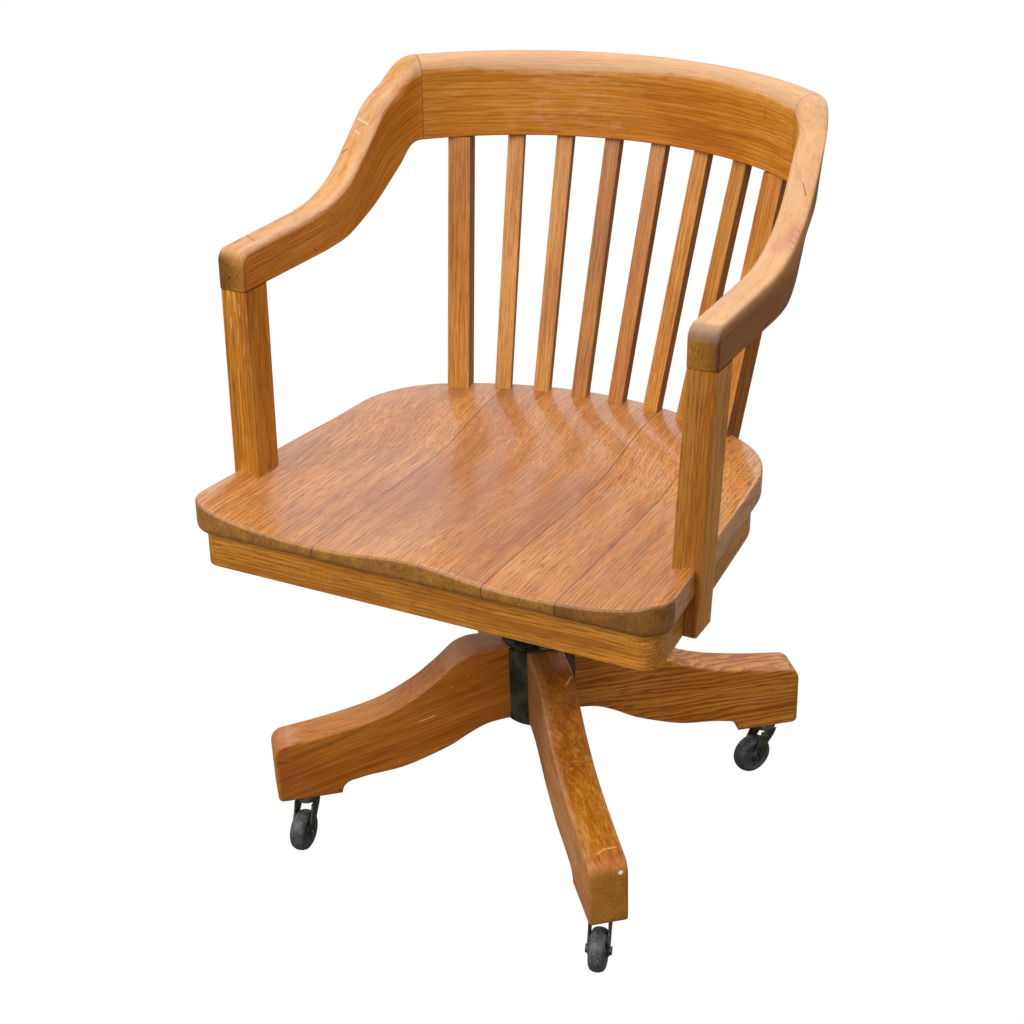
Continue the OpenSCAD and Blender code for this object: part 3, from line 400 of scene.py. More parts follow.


# Scratches, chips and stains seen in the photograph, some pale scratches with a painted highlight,
# in the grain attribute's frame: start, end, width in mm, strength and colour.
MARKS = {
    "bow": [
        ((-1950, 70, 189), (-1964, 49.5, 189), 1.0, 0.85, "#5A3418"),
        ((-1978, 64.6, 189), (-1962.6, 67.3, 189), 1.0, 0.8, "#5A3418"),
        ((-2000, 58, 170.5), (-2000, 58, 170), 1.8, 0.9, "#3A2210"),
        ((-1871.3, 39.5, 154.5), (-1865.4, 39.5, 149.1), 1.3, 0.7, "#6A3E14"),
        ((-1763.3, 66, 195.6), (-1759.8, 62.7, 196.1), 1.1, 0.8, "#5A3A1C"),
        ((-1772, 66, 195), (-1769, 63.5, 195.5), 1.0, 0.6, "#5A3A1C"),
        ((2258.5, 56.9, 198.7), (2249, 63.1, 197.3), 1.0, 0.8, "#8A5C34"),
        ((2196, 70, 191), (2199, 63, 192), 1.3, 0.6, "#A8705C"),
        ((2203, 70, 192), (2206, 62, 192.4), 1.3, 0.7, "#A4685A"),
        ((2210, 70, 192.5), (2213, 62, 193), 1.3, 0.7, "#A4685A"),
        ((2217, 70, 193), (2220, 63, 193.6), 1.3, 0.6, "#A8705C"),
        ((2199, 56, 192), (2217, 64, 193), 13.0, 0.4, "#B4705E"),
        ((2000.5, 70, 148), (2000.5, 70, 187), 3.4, 0.85, "#50341C"),
        ((2003, 44, 189), (2003, 68, 189), 8.0, 0.55, "#8A7468"),
        # These five pale cross scratches on the left arm's ramp carry a painted highlight.
        ((-1786, 46, 197), (-1782, 65, 197), 1.1, 0.55, "#F2DCC2"),
        ((-1771, 48, 198), (-1769, 66, 198), 0.9, 0.5, "#F2DCC2"),
        ((-1748, 45, 199), (-1743, 62, 199), 1.1, 0.5, "#F2DCC2"),
        ((-1735, 50, 200), (-1733, 66, 200), 0.9, 0.5, "#F2DCC2"),
        ((-1712, 46, 201), (-1709, 60, 201), 1.0, 0.5, "#F2DCC2"),
        ((4193.6, 44.5, 254.3), (4196.5, 44.5, 244.5), 1.0, 0.7, "#6A3E18"),
    ],
    "bars": [
        ((8787, 190, 40), (8772, 190.5, 40), 1.2, 0.42, "#E8C890"),
        ((8776, 197, 40), (8758, 197, 40), 1.0, 0.36, "#E8C890"),
        ((8765, 202, 40), (8752, 202.5, 40), 1.1, 0.34, "#E8C890"),
        ((8750, 191, 40), (8739, 191, 40), 1.2, 0.38, "#E8C890"),
        ((8738, 199, 40), (8722, 198, 40), 0.9, 0.3, "#E8C890"),
        ((8722, 205, 40), (8712, 205, 40), 1.0, 0.28, "#E8C890"),
        ((10022, 159, 40), (10011, 159, 40), 1.3, 0.7, "#E8D8C8"),
        ((10030, 146, 40), (10012, 146, 40), 5.0, 0.5, "#8A4A24"),
    ],
    "legs": [
        ((2899, 111, 153), (2880, 111, 153), 1.2, 0.8, "#E8B878"),
        ((2880.2, 111, 173.7), (2880.2, 111, 174), 1.4, 0.8, "#DCA055"),
        ((2849.6, 111, 181.5), (2849.6, 111, 182), 1.3, 0.7, "#DCA055"),
        ((2828.5, 111, 186.4), (2828.5, 111, 187), 1.3, 0.7, "#DCA055"),
        ((2937.6, 111, 109.8), (2937.6, 111, 110), 1.3, 0.7, "#DCA055"),
        ((3047, 111, 169.7), (3002, 111, 169.5), 4.0, 0.55, "#84500F"),
        ((3002, 111, 169.5), (2955, 111, 173.9), 3.4, 0.5, "#84500F"),
        ((3066, 111, 170), (3055, 111, 167.5), 1.0, 0.8, "#4A2A12"),
    ],
    "leg_front": [
        ((992.6, 83, 114.6), (987.5, 91.7, 115.3), 1.6, 0.7, "#E0AA7C"),
        ((987.5, 91.7, 115.3), (987.5, 104.5, 115.3), 1.6, 0.7, "#E0AA7C"),
        ((1012.9, 101.8, 102.2), (1012.5, 103, 102.6), 2.6, 1.0, "#F4EADC"),
        ((798.5, 99.4, 193.7), (791.2, 107, 198.1), 1.2, 0.8, "#E2A468"),
    ],
}

# Ring width in mm and share of rings, flecks and pores in the figure; then the varnish.
# dirt is the colour of the tone's third channel, used for real dirt and for painted shade.
OAK = dict(ring=4.4, rings=0.05, fleck=0.2, pores=0.6, dirt="#8C7440", rough=0.4, gloss=0.3, coat=0.12,
           coat_rough=0.25, bump=0.22, glue=(), marks=())
TINTS = ("deep", "mid", "pale", "pore", "worn", "end", "end_deep", "red")


def oak_look(tints, **changes):
    """The look of an oak: its colours in the order of TINTS, and what differs from OAK."""
    return dict(OAK, **dict(zip(TINTS, tints.split())), **changes)


SEAT_GLUE = tuple(GLUE[i] + PITHS[board][0] for i in range(3) for board in (i, i + 1))
LEGS = oak_look("#975008 #B56912 #C57D28 #7C420A #CA9C74 #B87C26 #8C5A16 #A04C34", pores=0.35, fleck=0.1)
LOOKS = {
    "bow": oak_look("#A65E10 #C17A1E #D2903C #84490F #DAB690 #B27C2E #7A4E18 #A65A44", pores=0.34,
                    marks=MARKS["bow"]),
    "bars": oak_look("#A05C0E #BF781A #D09038 #784511 #DCA468 #A06A22 #77491A #8E4420", pores=0.5,
                     marks=MARKS["bars"]),
    "seat": oak_look("#A35F1C #BF7628 #D59040 #7A4214 #D89C66 #A5742A #6C4616 #8E4A2A", pores=0.7, fleck=0.5,
                     dirt="#B09A6A", rough=0.34, coat=0.75, coat_rough=0.11, gloss=0.5, bump=0.4,
                     glue=SEAT_GLUE),
    "apron": oak_look("#9E6016 #C48026 #D8983E #7C4A16 #CC924A #94662F #6A431B #8F4A1E", pores=0.65),
    "legs": dict(LEGS, marks=MARKS["legs"]),
    "leg_front": dict(LEGS, fleck=0.6, mid="#BA6E10", pale="#D0923A", rings=0.03, marks=MARKS["leg_front"]),
    "leg_right": dict(LEGS, rings=0.15, ring=5.6, pores=0.6, deep="#AC6212", mid="#DA8828", pale="#E29A3C"),
}


# ---- metals and composition

def cast_iron():
    """Cast iron, black paint worn and stained green, with a pitted casting skin."""
    s = Shader("cast_iron_black_paint")
    where = s.place()
    blotch = s.noise(where, (16, 16, 26), 4.0, 0.6, 0.4)
    skin = s.noise(where, (1.4, 1.4), 3.0, 0.6)
    colour = s.ramp(blotch, [(0.33, "#15160F"), (0.5, "#2E3227"), (0.66, "#4A4B36")])
    s.set(Base_Color=s.mix(s.span(skin, 0.6, 0.78), colour, linear("#6B6047")), Metallic=0.45,
          Roughness=s.span(blotch, 0.2, 0.8, 0.38, 0.62))
    s.bump(skin, 0.0006, 0.35)
    return s.material


def steel(name, dark, mid, bright, rough, streak):
    """Steel: streaks of turning or rolling, with spots of tarnish. streak gives the noise cell in mm."""
    s = Shader(name)
    where = s.place()
    lines = s.noise(where, streak, 3.0, 0.6)
    spots = s.noise(where, (7, 7), 4.0, 0.65)
    colour = s.ramp(spots, [(0.32, dark), (0.5, mid), (0.68, bright)])
    s.set(Base_Color=s.mix(s.times(lines, 0.35), colour, linear(bright)), Metallic=0.85,
          Roughness=s.span(spots, 0.25, 0.75, rough, rough + 0.2))
    s.bump(lines, 0.0002, 0.2)
    return s.material


def bronze():
    """Bronze bearing sleeve, bored and turned, gone brown."""
    return steel("turned_bronze", "#5B3D1C", "#8A6430", "#B58C4C", 0.3, (4, 4, 0.6))


def composition():
    """Moulded rubber and fibre composition of a caster wheel, with pale scuffs on the tread."""
    s = Shader("moulded_wheel_composition")
    where = s.place()
    base = s.noise(where, (9, 9), 3.0, 0.6)
    scuff = s.span(s.noise(where, (1.5, 1.5, 2.2), 4.0, 0.7), 0.57, 0.66)
    colour = s.ramp(base, [(0.35, "#2C2F32"), (0.65, "#4B4F53")])
    s.set(Base_Color=s.mix(s.times(scuff, 0.75), colour, linear("#A09E96")),
          Roughness=s.span(scuff, 0.0, 1.0, 0.48, 0.8))
    s.bump(scuff, 0.0003, 0.3)
    return s.material


# ---- helpers for shapes

def ease(t):
    """Smooth step from 0 at t = 0 to 1 at t = 1."""
    u = np.clip(t, 0, 1)
    return u * u * (3 - 2 * u)


def smooth_line(p, steps):
    """Smooth curve through points, an even number of steps between each two."""
    p = [np.array(q, float) for q in p]
    last = len(p) - 1
    out = []
    for i in range(last):
        a, b, c, d = p[max(i - 1, 0)], p[i], p[i + 1], p[min(i + 2, last)]
        for k in range(steps):
            t = k / steps
            out.append((2 * b + (c - a) * t + (2 * a - 5 * b + 4 * c - d) * t ** 2
                        + (3 * b - a - 3 * c + d) * t ** 3) / 2)
    return np.array(out + [p[last]])


def ogee(start, end, shape, steps):
    """Points of an ogee, from fractions of its run and its fall."""
    s, e = np.array(start, float), np.array(end, float)
    return smooth_line([s + (e - s) * np.array(q) for q in shape], steps)


def arc(centre, r, a, b, steps):
    """Points along an arc from angle a to angle b, in degrees."""
    t = np.radians(np.linspace(a, b, steps + 1))
    return np.stack([centre[0] + r * np.cos(t), centre[1] + r * np.sin(t)], -1)


SIDE = (0.04, 0.3, 0.7, 0.96)  # where a section's straight sides get points


def rounded_ring(x0, x1, z0, z1, radii, steps):
    """Closed section from x0 to x1 and z0 to z1, each corner an arc.

    The corners are lower right, upper right, upper left, lower left.
    """
    corners = [(x1, z0, -1, 1, -90), (x1, z1, -1, -1, 0), (x0, z1, 1, -1, 90), (x0, z0, 1, 1, 180)]
    arcs = [arc((x + sx * r, z + sz * r), r, a, a + 90, steps)
            for (x, z, sx, sz, a), r in zip(corners, radii)]
    out = []
    for i, piece in enumerate(arcs):
        ahead = arcs[(i + 1) % 4][0]
        out.append(piece)
        out.append(np.array([piece[-1] + (ahead - piece[-1]) * f for f in SIDE]))
    return np.concatenate(out)


def resample(line, step):
    """The same closed line with points an even step apart."""
    loop = np.concatenate([line, line[:1]])
    run = path_length(loop)
    at = np.linspace(0, run[-1], int(run[-1] / step) + 1)[:-1]
    return np.stack([np.interp(at, run, loop[:, 0]), np.interp(at, run, loop[:, 1])], -1)


def path_length(line):
    """Distance of each point from the first one, along a line."""
    return np.concatenate([[0], np.cumsum(np.linalg.norm(np.diff(line, axis=0), axis=1))])


def inset(line, by):
    """A closed line, given counter-clockwise, moved in by a distance."""
    ahead = np.roll(line, -1, 0) - line
    behind = line - np.roll(line, 1, 0)
    side = ahead / np.linalg.norm(ahead, axis=1)[:, None]
    way = side + behind / np.linalg.norm(behind, axis=1)[:, None]
    way /= np.linalg.norm(way, axis=1)[:, None]
    normal = np.stack([-way[:, 1], way[:, 0]], -1)
    true = np.clip(np.abs(normal[:, 0] * -side[:, 1] + normal[:, 1] * side[:, 0]), 0.6, 1)
    return line + normal * (by / true)[:, None]


def revolve(profile, around):
    """Rings of a turned piece about Z from its profile of radii and heights."""
    a = np.linspace(0, 2 * pi, around, endpoint=False)
    return np.array([[(r * cos(t), r * sin(t), z) for t in a] for r, z in profile])


def ring_faces(rows, columns):
    """Quads between rows of closed rings."""
    out = []
    for a in range(0, (rows - 1) * columns, columns):
        b = a + columns
        out += [(a + j, a + (j + 1) % columns, b + (j + 1) % columns, b + j) for j in range(columns)]
    return out


def tube_faces(rows, columns):
    """Quads between rows of closed rings, with a face on each end."""
    return ring_faces(rows, columns) + [tuple(range(columns - 1, -1, -1)),
                                        tuple((rows - 1) * columns + j for j in range(columns))]


def tidy(mesh, edge, cuts=()):
    """Faces turned outward and smooth, with hard edges where two faces meet at more than edge degrees.

    Before that the mesh is cut at each place across X that is given with the side that comes off.
    """
    bm = bmesh.new()
    bm.from_mesh(mesh)
    for x, way in cuts:
        bmesh.ops.bisect_plane(bm, geom=bm.verts[:] + bm.edges[:] + bm.faces[:], dist=1e-7,
                               plane_co=(x / 1000, 0, 0), plane_no=(way, 0, 0), clear_outer=True)
        bmesh.ops.holes_fill(bm, edges=[e for e in bm.edges if e.is_boundary], sides=0)
    bmesh.ops.recalc_face_normals(bm, faces=bm.faces)
    bm.to_mesh(mesh)
    bm.free()
    mesh.shade_smooth()
    mesh.set_sharp_from_angle(angle=radians(edge))


def add_piece(node, ending, points, faces, material, body, grain=None, tone=None, edge=38, cuts=()):
    """A mesh object of the finished shape, in metres, riding on its body and standing for its node."""
    name = f"{node}_{ending}"
    mesh = new_mesh(name, points, faces)
    if grain is not None:
        for key, kind, part, values in (("grain", "FLOAT_VECTOR", "vector", grain),
                                        ("tone", "FLOAT_COLOR", "color", tone)):
            data = mesh.attributes.new(key, kind, "POINT").data
            data.foreach_set(part, np.asarray(values, np.float32).reshape(-1))
    tidy(mesh, edge, cuts)
    mesh.materials.append(material)
    piece = add_object(name, mesh)
    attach(piece, body)
    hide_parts(node)
    return piece


def tones(*parts):
    """The tone attribute from wear and painted sheen, end grain, dirt and painted shade, and redness, each a
    number or one for each point.
    """
    return np.stack(np.broadcast_arrays(*parts), -1)


# ---- seat

SEAT_TOP, SEAT_TH = 469.0, 35.0  # height of the rim and thickness of the boards
SEAT_FRONT, SEAT_BACK, HALF_W = 272.0, 184.0, 261.0  # the front and back edges, and the side at the arm posts
TAPER = 4.4  # degrees that the sides run in towards the back
SEAT_MIDDLE = np.array([0, -40.0])
FOOT_R = 366.0  # radius of the arc on which the slats and stiles stand
FOOT_Y = 164.3 - FOOT_R
RIM = 10.0  # width left level beside the dish
DISH, RIDGE, RIDGE_W = 19.0, 9.0, 62.0  # depth of the dish, height and half width of the ridge in it


def seat_outline():
    """The seat's edge in plan: straight front, round corners, sides that taper back and a bowed back."""
    n = np.array([cos(radians(TAPER)), sin(radians(TAPER))])
    u = np.array([-n[1], n[0]])
    d = n @ np.array([HALF_W, -POST_FRONT])
    front_r, rear_r, back_r = 29.0, 121.0, 360.0
    front_y = -SEAT_FRONT + front_r
    front = ((d - front_r - n[1] * front_y) / n[0], front_y)
    middle = np.array([0, SEAT_BACK - back_r])
    base = (d - rear_r) * n - middle
    half_b = base @ u
    rear = (d - rear_r) * n + (-half_b + sqrt(half_b ** 2 - base @ base + (back_r - rear_r) ** 2)) * u
    turn = degrees(atan2(rear[1] - middle[1], rear[0] - middle[0]))
    half = np.concatenate([[[0, -SEAT_FRONT]], arc(front, front_r, -90, TAPER, 16),
                           arc(rear, rear_r, TAPER, turn, 40), arc(middle, back_r, turn, 90, 30)[1:]])
    mirrored = half[::-1][1:-1] * [-1, 1]
    return resample(np.concatenate([half, mirrored]), 3.6)


def hollow(x, y):
    """Depth of the dished seat below its rim: two hollows with a low ridge between the thighs."""
    rim = FOOT_Y + np.sqrt(np.maximum(FOOT_R ** 2 - x * x, 1)) - RIM
    v = (y + SEAT_FRONT) / (rim + SEAT_FRONT)
    side = np.maximum(0, 1 - (np.abs(x) / (HALF_W - RIM)) ** 5)
    depth = DISH * (1 + 0.12 * ease(v / 0.5)) * (1 - ease((v - 0.6) / 0.4))
    ridge = RIDGE * np.exp(-(x / RIDGE_W) ** 2) * (1 - ease(v / 0.62))
    return np.maximum(0, (depth - ridge) * side)


def seat_solid():
    """Points of the whole seat: rings from the underside's middle out, up the edge and in over the dish."""
    line = seat_outline()
    low_r, top_r = 9.0, 3.5
    under = SEAT_TOP - SEAT_TH
    rings = []

    def ring(plan, z):
        rings.append(np.column_stack([plan, np.broadcast_to(z, len(plan))]))

    def top_ring(plan, below=0.0):
        ring(plan, SEAT_TOP - hollow(plan[:, 0], plan[:, 1]) - below)

    for k in (0.01, 0.4, 0.8):
        ring(SEAT_MIDDLE + (inset(line, low_r) - SEAT_MIDDLE) * k, under)
    for a in np.radians(np.linspace(-90, 0, 7)):
        ring(inset(line, low_r * (1 - cos(a))), under + low_r * (1 + sin(a)))
    for a in np.radians(np.linspace(0, 90, 7)):
        top_ring(inset(line, top_r * (1 - cos(a))), top_r * (1 - sin(a)))
    for by in (6.5, 9, 12, 16, 20):
        top_ring(inset(line, by))
    base = inset(line, 20)
    for k in np.linspace(1, 0.005, 74)[1:]:
        top_ring(SEAT_MIDDLE + (base - SEAT_MIDDLE) * k)
    return np.array(rings)


def spot(x, y, middle, reach):
    """A soft patch: 1 at its middle and fading over its reach in X and Y."""
    return np.exp(-(((x - middle[0]) / reach[0]) ** 2 + ((y - middle[1]) / reach[1]) ** 2))


def seat_tone(p, rows, board):
    """Wear over the seat: duller and redder where it is sat on, end grain at the front and back edges.

    rows is the ring each point is on: 3 to 14 are the edge, from 16 on the top.
    """
    x, y = p[:, 0], p[:, 1]
    top = rows > 15
    edge = (rows >= 3) & (rows <= 14)
    lip = top & (rows <= 18) & (y < -230)
    front = edge & (y < -SEAT_FRONT + 30)
    end = np.where(front, 1.0, edge * 0.6 * ease((y - 40) / 90))
    worn = np.where(top, 0.42 - 0.1 * spot(x, y, (0, -40), (190, 180)), 0.15)
    worn = np.where(lip, 0.3, worn)
    red = top * (0.45 * spot(x, y, (-10, -90), (130, 120)) + (0.0, 0.1, 0.0, 0.06)[board])
    grime_and_shade = top * 0.2 * spot(x, y, (0, -150), (240, 130))
    grime_and_shade = np.where(front & (board == 3), 0.55, grime_and_shade)
    return tones(worn, end, grime_and_shade, red)


def add_seat(material):
    """Four glued boards with one dished surface, each cut out of the whole between two glue lines."""
    rings = seat_solid()
    rows, columns = rings.shape[:2]
    flat = rings.reshape(-1, 3)
    row_of = np.repeat(np.arange(rows), columns)
    sides = (None, *GLUE, None)
    for k, (pith, depth) in enumerate(PITHS):
        grain = flat[:, [1, 0, 2]] + [900.0 * k, pith, depth - SEAT_TOP]
        cuts = [(x, way) for x, way in ((sides[k], -1), (sides[k + 1], 1)) if x is not None]
        add_piece(f"seat_board_{k + 1}", "oak", place_seat(flat), tube_faces(rows, columns), material, "seat",
                  grain, seat_tone(flat, row_of, k), cuts=cuts)


# ---- upright bars

CREST_R, CREST_TOP, CREST_LOW = 316.0, 842.0, 750.0  # the crest's middle line, top and bottom
CREST_Y = 270.8 - CREST_R
BAR_LOW = 396.0  # foot of the posts and stiles, in their notches
POST_FRONT, POST_TOP, POST_D = 181.0, 666.0, 40.0  # an arm post's front face, top and depth
POST_LEAN, POST_SPLAY = 2.4, 1.35  # degrees backward and outward
ARM_X, BOW_TH = 256.0, 31.0  # the arm's middle line, and the stock of posts, arms and crest
SLAT_W, SLAT_D, STILE_W, STILE_D = 19.0, 13.0, 26.0, 28.0
SLAT_WEAR = ((0.02, 0.62, 0.0), (0.1, 0.45, 0.05), (0.1, 0.28, 0.3), (0.42, 0.2, 0.05), (0.0, 0.45, 0.0),
             (0.25, 0.25, 0.1))  # redness, wear and dullness of each slat's front


def bar_frame(rx, ry, rz):
    """Width, depth and length directions of a bar after turns about X, Y and Z, in degrees."""
    a, b, c = radians(rx), radians(ry), radians(rz)
    about_x = np.array([[1, 0, 0], [0, cos(a), -sin(a)], [0, sin(a), cos(a)]])
    about_y = np.array([[cos(b), 0, sin(b)], [0, 1, 0], [-sin(b), 0, cos(b)]])
    about_z = np.array([[cos(c), -sin(c), 0], [sin(c), cos(c), 0], [0, 0, 1]])
    return (about_z @ about_y @ about_x).T


def add_bar(name, foot, axes, section, ends, material, seed, wear):
    """A straight bar between two level cuts: an oblique prism with eased arrises.

    section is its width, depth and arris; ends are the heights of the cuts; wear is its redness,
    its wear, how dull its front is, and how dark its sides are, a painted shade.
    """
    w, d, r = section
    z0, z1 = ends
    red, worn, front, side = wear
    wide, deep, long_way = axes
    ring = rounded_ring(-w / 2, w / 2, -d / 2, d / 2, (r,) * 4, 4)
    levels = np.concatenate([[z0, z0 + 0.4], np.linspace(z0 + 1.5, z1 - 1.5, 14), [z1 - 0.4, z1]])
    points, grain = [], []
    for z in levels:
        for a, b in ring:
            p = foot + wide * a + deep * b
            t = (z - p[2]) / long_way[2]
            points.append(p + long_way * t)
            grain.append((t + seed * 613, a + 150 + 23 * (seed % 4), b + 60))
    count = len(ring)
    # Painted shade: the side faces take the side value in the tone's dark channel, darker than the front.
    beside = ease((np.abs(ring[:, 0]) - w / 2 + 0.6) / 0.6)
    grime_and_shade = np.tile(front + (side - front) * beside, len(levels))
    grime_and_shade[:count] = grime_and_shade[-count:] = 0.9
    arris = (np.abs(ring[:, 0]) > w / 2 - 1.2) & (np.abs(ring[:, 1]) > d / 2 - 1.2)
    tone = tones(worn + 0.45 * np.tile(arris, len(levels)), 0.0, grime_and_shade, red)
    add_piece(name, "oak", place_seat(points), tube_faces(len(levels), count), material, "seat",
              grain, tone)


def fan_bar(low_angle, high_angle, turn, d):
    """Foot and directions of a bar that leans from a foot arc on the seat to the crest above it."""
    lo, hi = radians(low_angle), radians(high_angle)
    foot = np.array([0, FOOT_Y]) + (FOOT_R + d / 2) * np.array([sin(lo), cos(lo)])
    run = np.array([0, CREST_Y]) + CREST_R * np.array([sin(hi), cos(hi)]) - foot
    rise = CREST_LOW - SEAT_TOP
    t = radians(turn)
    across = run @ np.array([cos(t), -sin(t)])
    back = run @ np.array([sin(t), cos(t)])
    whole = sqrt(run @ run + rise ** 2)
    axes = bar_frame(-degrees(asin(back / whole)), degrees(atan2(across, rise)), -turn)
    return np.array([foot[0], foot[1], SEAT_TOP]), axes


def add_uprights(material):
    """Six slats, two stiles and two arm posts."""
    # Slats and stiles get 0.5 of painted shade on their side faces.
    for k, (red, worn, dull) in enumerate(SLAT_WEAR, 1):
        side = k - 3.5
        foot, axes = fan_bar(side * 7.2, side * 10.4, side * 6.6, SLAT_D)
        add_bar(f"slat_{k}", foot, axes, (SLAT_W, SLAT_D, 1.3), (SEAT_TOP, CREST_LOW), material, k,
                (red, worn, dull, 0.5))
    for side, name in ((-1, "left"), (1, "right")):
        foot, axes = fan_bar(side * 25.9, side * 37.7, side * 16, STILE_D)
        add_bar("stile_" + name, foot, axes, (STILE_W, STILE_D, 1.6), (BAR_LOW, CREST_LOW), material,
                9 + side, (0.05, 0.35, 0.0, 0.5))
    for side, name, dull in ((-1, "left", 0.0), (1, "right", 0.5)):
        x = ARM_X - (POST_TOP - SEAT_TOP) * tan(radians(POST_SPLAY))
        foot = np.array([side * x, -POST_FRONT + POST_D / 2, SEAT_TOP])
        axes = bar_frame(-POST_LEAN, side * POST_SPLAY, 0)
        add_bar("arm_post_" + name, foot, axes, (BOW_TH, POST_D, 2.6), (BAR_LOW, POST_TOP), material,
                15 + side, (0.0, 0.3, dull, 0.0))


# ---- crest rail and arms

JOINT = 46.7  # degrees from the middle of the crest to its joint with an arm
ROLL_IN, ROLL_OUT, ARRIS = 18.0, 8.0, 2.0  # rounding of the crest's inner and outer top, and of its bottom
BACK_LEAN = tan(radians(8.0))
JOINT_LEAN = 0.5 * BACK_LEAN


def undercut(off, below, lean):
    """Distance from the bow's middle line when its outer face leans in by a tangent towards the bottom."""
    return off - max(off, 0) * lean * below / (BOW_TH / 2)


def add_crest(material):
    """The crest: its section, rolled over at the top, swept round the bow, with thin dark glue joints."""
    ring = rounded_ring(-BOW_TH / 2, BOW_TH / 2, CREST_LOW, CREST_TOP, (ARRIS, ROLL_OUT, ROLL_IN, ARRIS), 9)
    ends = 0.9 / CREST_R
    j = radians(JOINT)
    angles = np.concatenate([[-j, -j + ends / 2, -j + ends], np.linspace(-j, j, 150)[1:-1],
                             [j - ends, j - ends / 2, j]])
    points, grain, worn, grime_and_shade = [], [], [], []
    for a in angles:
        lean = JOINT_LEAN * ease((degrees(abs(a)) - 24) / 18)
        for off, z in ring:
            r = CREST_R + undercut(off, CREST_TOP - z, lean)
            points.append((r * sin(a), CREST_Y + r * cos(a), z))
            grain.append((a * CREST_R + 4000, off + 60, z - 560))
            roll = ease((z - 821 - 3 * sin(a * 5)) / 12) if off < 6 else 0.75 * ease((z - 826) / 10)
            # Painted sheen: a pale band on the crest's inner face, left of the middle, in place of a
            # reflection.
            rub_and_sheen = 0.3 * exp(-((a + 0.25) / 0.35) ** 2) * (off < 0)
            worn.append(0.14 + rub_and_sheen + (0.84 - rub_and_sheen) * roll)
            grime_and_shade.append(0.95 if a in (angles[0], angles[-1]) else 0.0)
    tone = tones(worn, 0, grime_and_shade, 0)
    add_piece("crest_rail", "oak", place_seat(points), tube_faces(len(angles), len(ring)), material, "seat",
              grain, tone)


ARM_TOP_SHAPE = [(0, 0), (0.146, 0.134), (0.326, 0.322), (0.411, 0.472), (0.519, 0.66), (0.649, 0.834),
                 (0.82, 0.955), (1, 1)]
ARM_LOW_SHAPE = [(0, 0), (0.11, 0.012), (0.168, 0.083), (0.23, 0.225), (0.304, 0.379), (0.385, 0.538),
                 (0.486, 0.698), (0.595, 0.817), (0.704, 0.911), (0.812, 0.97), (1, 1)]
CREST_END = np.array([CREST_R * sin(radians(JOINT)), CREST_Y + CREST_R * cos(radians(JOINT))])
JOINT_Y = CREST_END[1] + BOW_TH / 2 * cos(radians(JOINT))
ARM_FRONT = -POST_FRONT + POST_D / 2 + (POST_TOP - SEAT_TOP) * tan(radians(POST_LEAN)) - POST_D / 2
NOSE_R = 12.0
TOP_FRONT, TOP_REAR, TOP_REAR_Y = 709.0, 712.0, -40.0  # the arm's top, nearly level before the ramp
LOW_FRONT, LOW_REAR, LOW_REAR_Y = POST_TOP, 666.5, -20.0  # its underside


def softened(line, reach):
    """A line of depths and heights with its small kinks averaged out over a reach to each side."""
    y = np.linspace(line[0, 0] - 60, line[-1, 0], 400)
    z = np.interp(y, line[:, 0], line[:, 1])
    width = int(reach / (y[1] - y[0]))
    window = np.hanning(2 * width + 3)[1:-1]
    padded = np.pad(z, width, "reflect", reflect_type="odd")
    return np.stack([y, np.convolve(padded, window / window.sum(), "valid")], -1)


TOP_LINE = softened(ogee((JOINT_Y, CREST_TOP - 3), (TOP_REAR_Y, TOP_REAR), ARM_TOP_SHAPE, 8)[::-1], 9)
LOW_LINE = softened(ogee((JOINT_Y, CREST_LOW), (LOW_REAR_Y, LOW_REAR), ARM_LOW_SHAPE, 6)[::-1], 12)


def arm_top(y):
    """Height of the arm's top at a depth: the nose arc, the nearly level front, then the ramp."""
    front = NOSE_R - np.clip(y - ARM_FRONT, 0, NOSE_R)
    level = np.interp(y, [ARM_FRONT + NOSE_R, TOP_REAR_Y], [TOP_FRONT, TOP_REAR])
    z = np.where(y < -60, level, np.interp(y, TOP_LINE[:, 0], TOP_LINE[:, 1]))
    return z - NOSE_R + np.sqrt(np.maximum(NOSE_R ** 2 - front ** 2, 0))


def arm_under(y):
    """Height of the arm's underside at a depth: nearly level at the post, then the ramp."""
    level = np.interp(y, [ARM_FRONT + 40, LOW_REAR_Y], [LOW_FRONT, LOW_REAR])
    return np.where(y < -50, level, np.interp(y, LOW_LINE[:, 0], LOW_LINE[:, 1]))


def arm_way():
    """Points, outward normals and run along the middle line of the right arm, from its nose to the joint."""
    straight = [(ARM_X, y) for y in np.concatenate([
        ARM_FRONT + NOSE_R * (1 - np.cos(np.radians(np.linspace(0, 90, 9)))),
        np.linspace(ARM_FRONT + NOSE_R + 3, 52, 46)])]
    away = np.array([cos(radians(JOINT)), -sin(radians(JOINT))])
    p = [np.array([ARM_X, 55.0]), np.array([ARM_X, 85.0]), CREST_END + 30 * away, CREST_END]
    t = np.linspace(0, 1, 54)[:, None]
    bend = (1 - t) ** 3 * p[0] + 3 * t * (1 - t) ** 2 * p[1] + 3 * t ** 2 * (1 - t) * p[2] + t ** 3 * p[3]
    way = (1 - t) ** 2 * (p[1] - p[0]) + 2 * t * (1 - t) * (p[2] - p[1]) + t ** 2 * (p[3] - p[2])
    way /= np.linalg.norm(way, axis=1)[:, None]
    line = np.concatenate([np.array(straight), bend])
    normal = np.concatenate([np.tile([1.0, 0.0], (len(straight), 1)), np.stack([way[:, 1], -way[:, 0]], -1)])
    return line, normal, path_length(line)


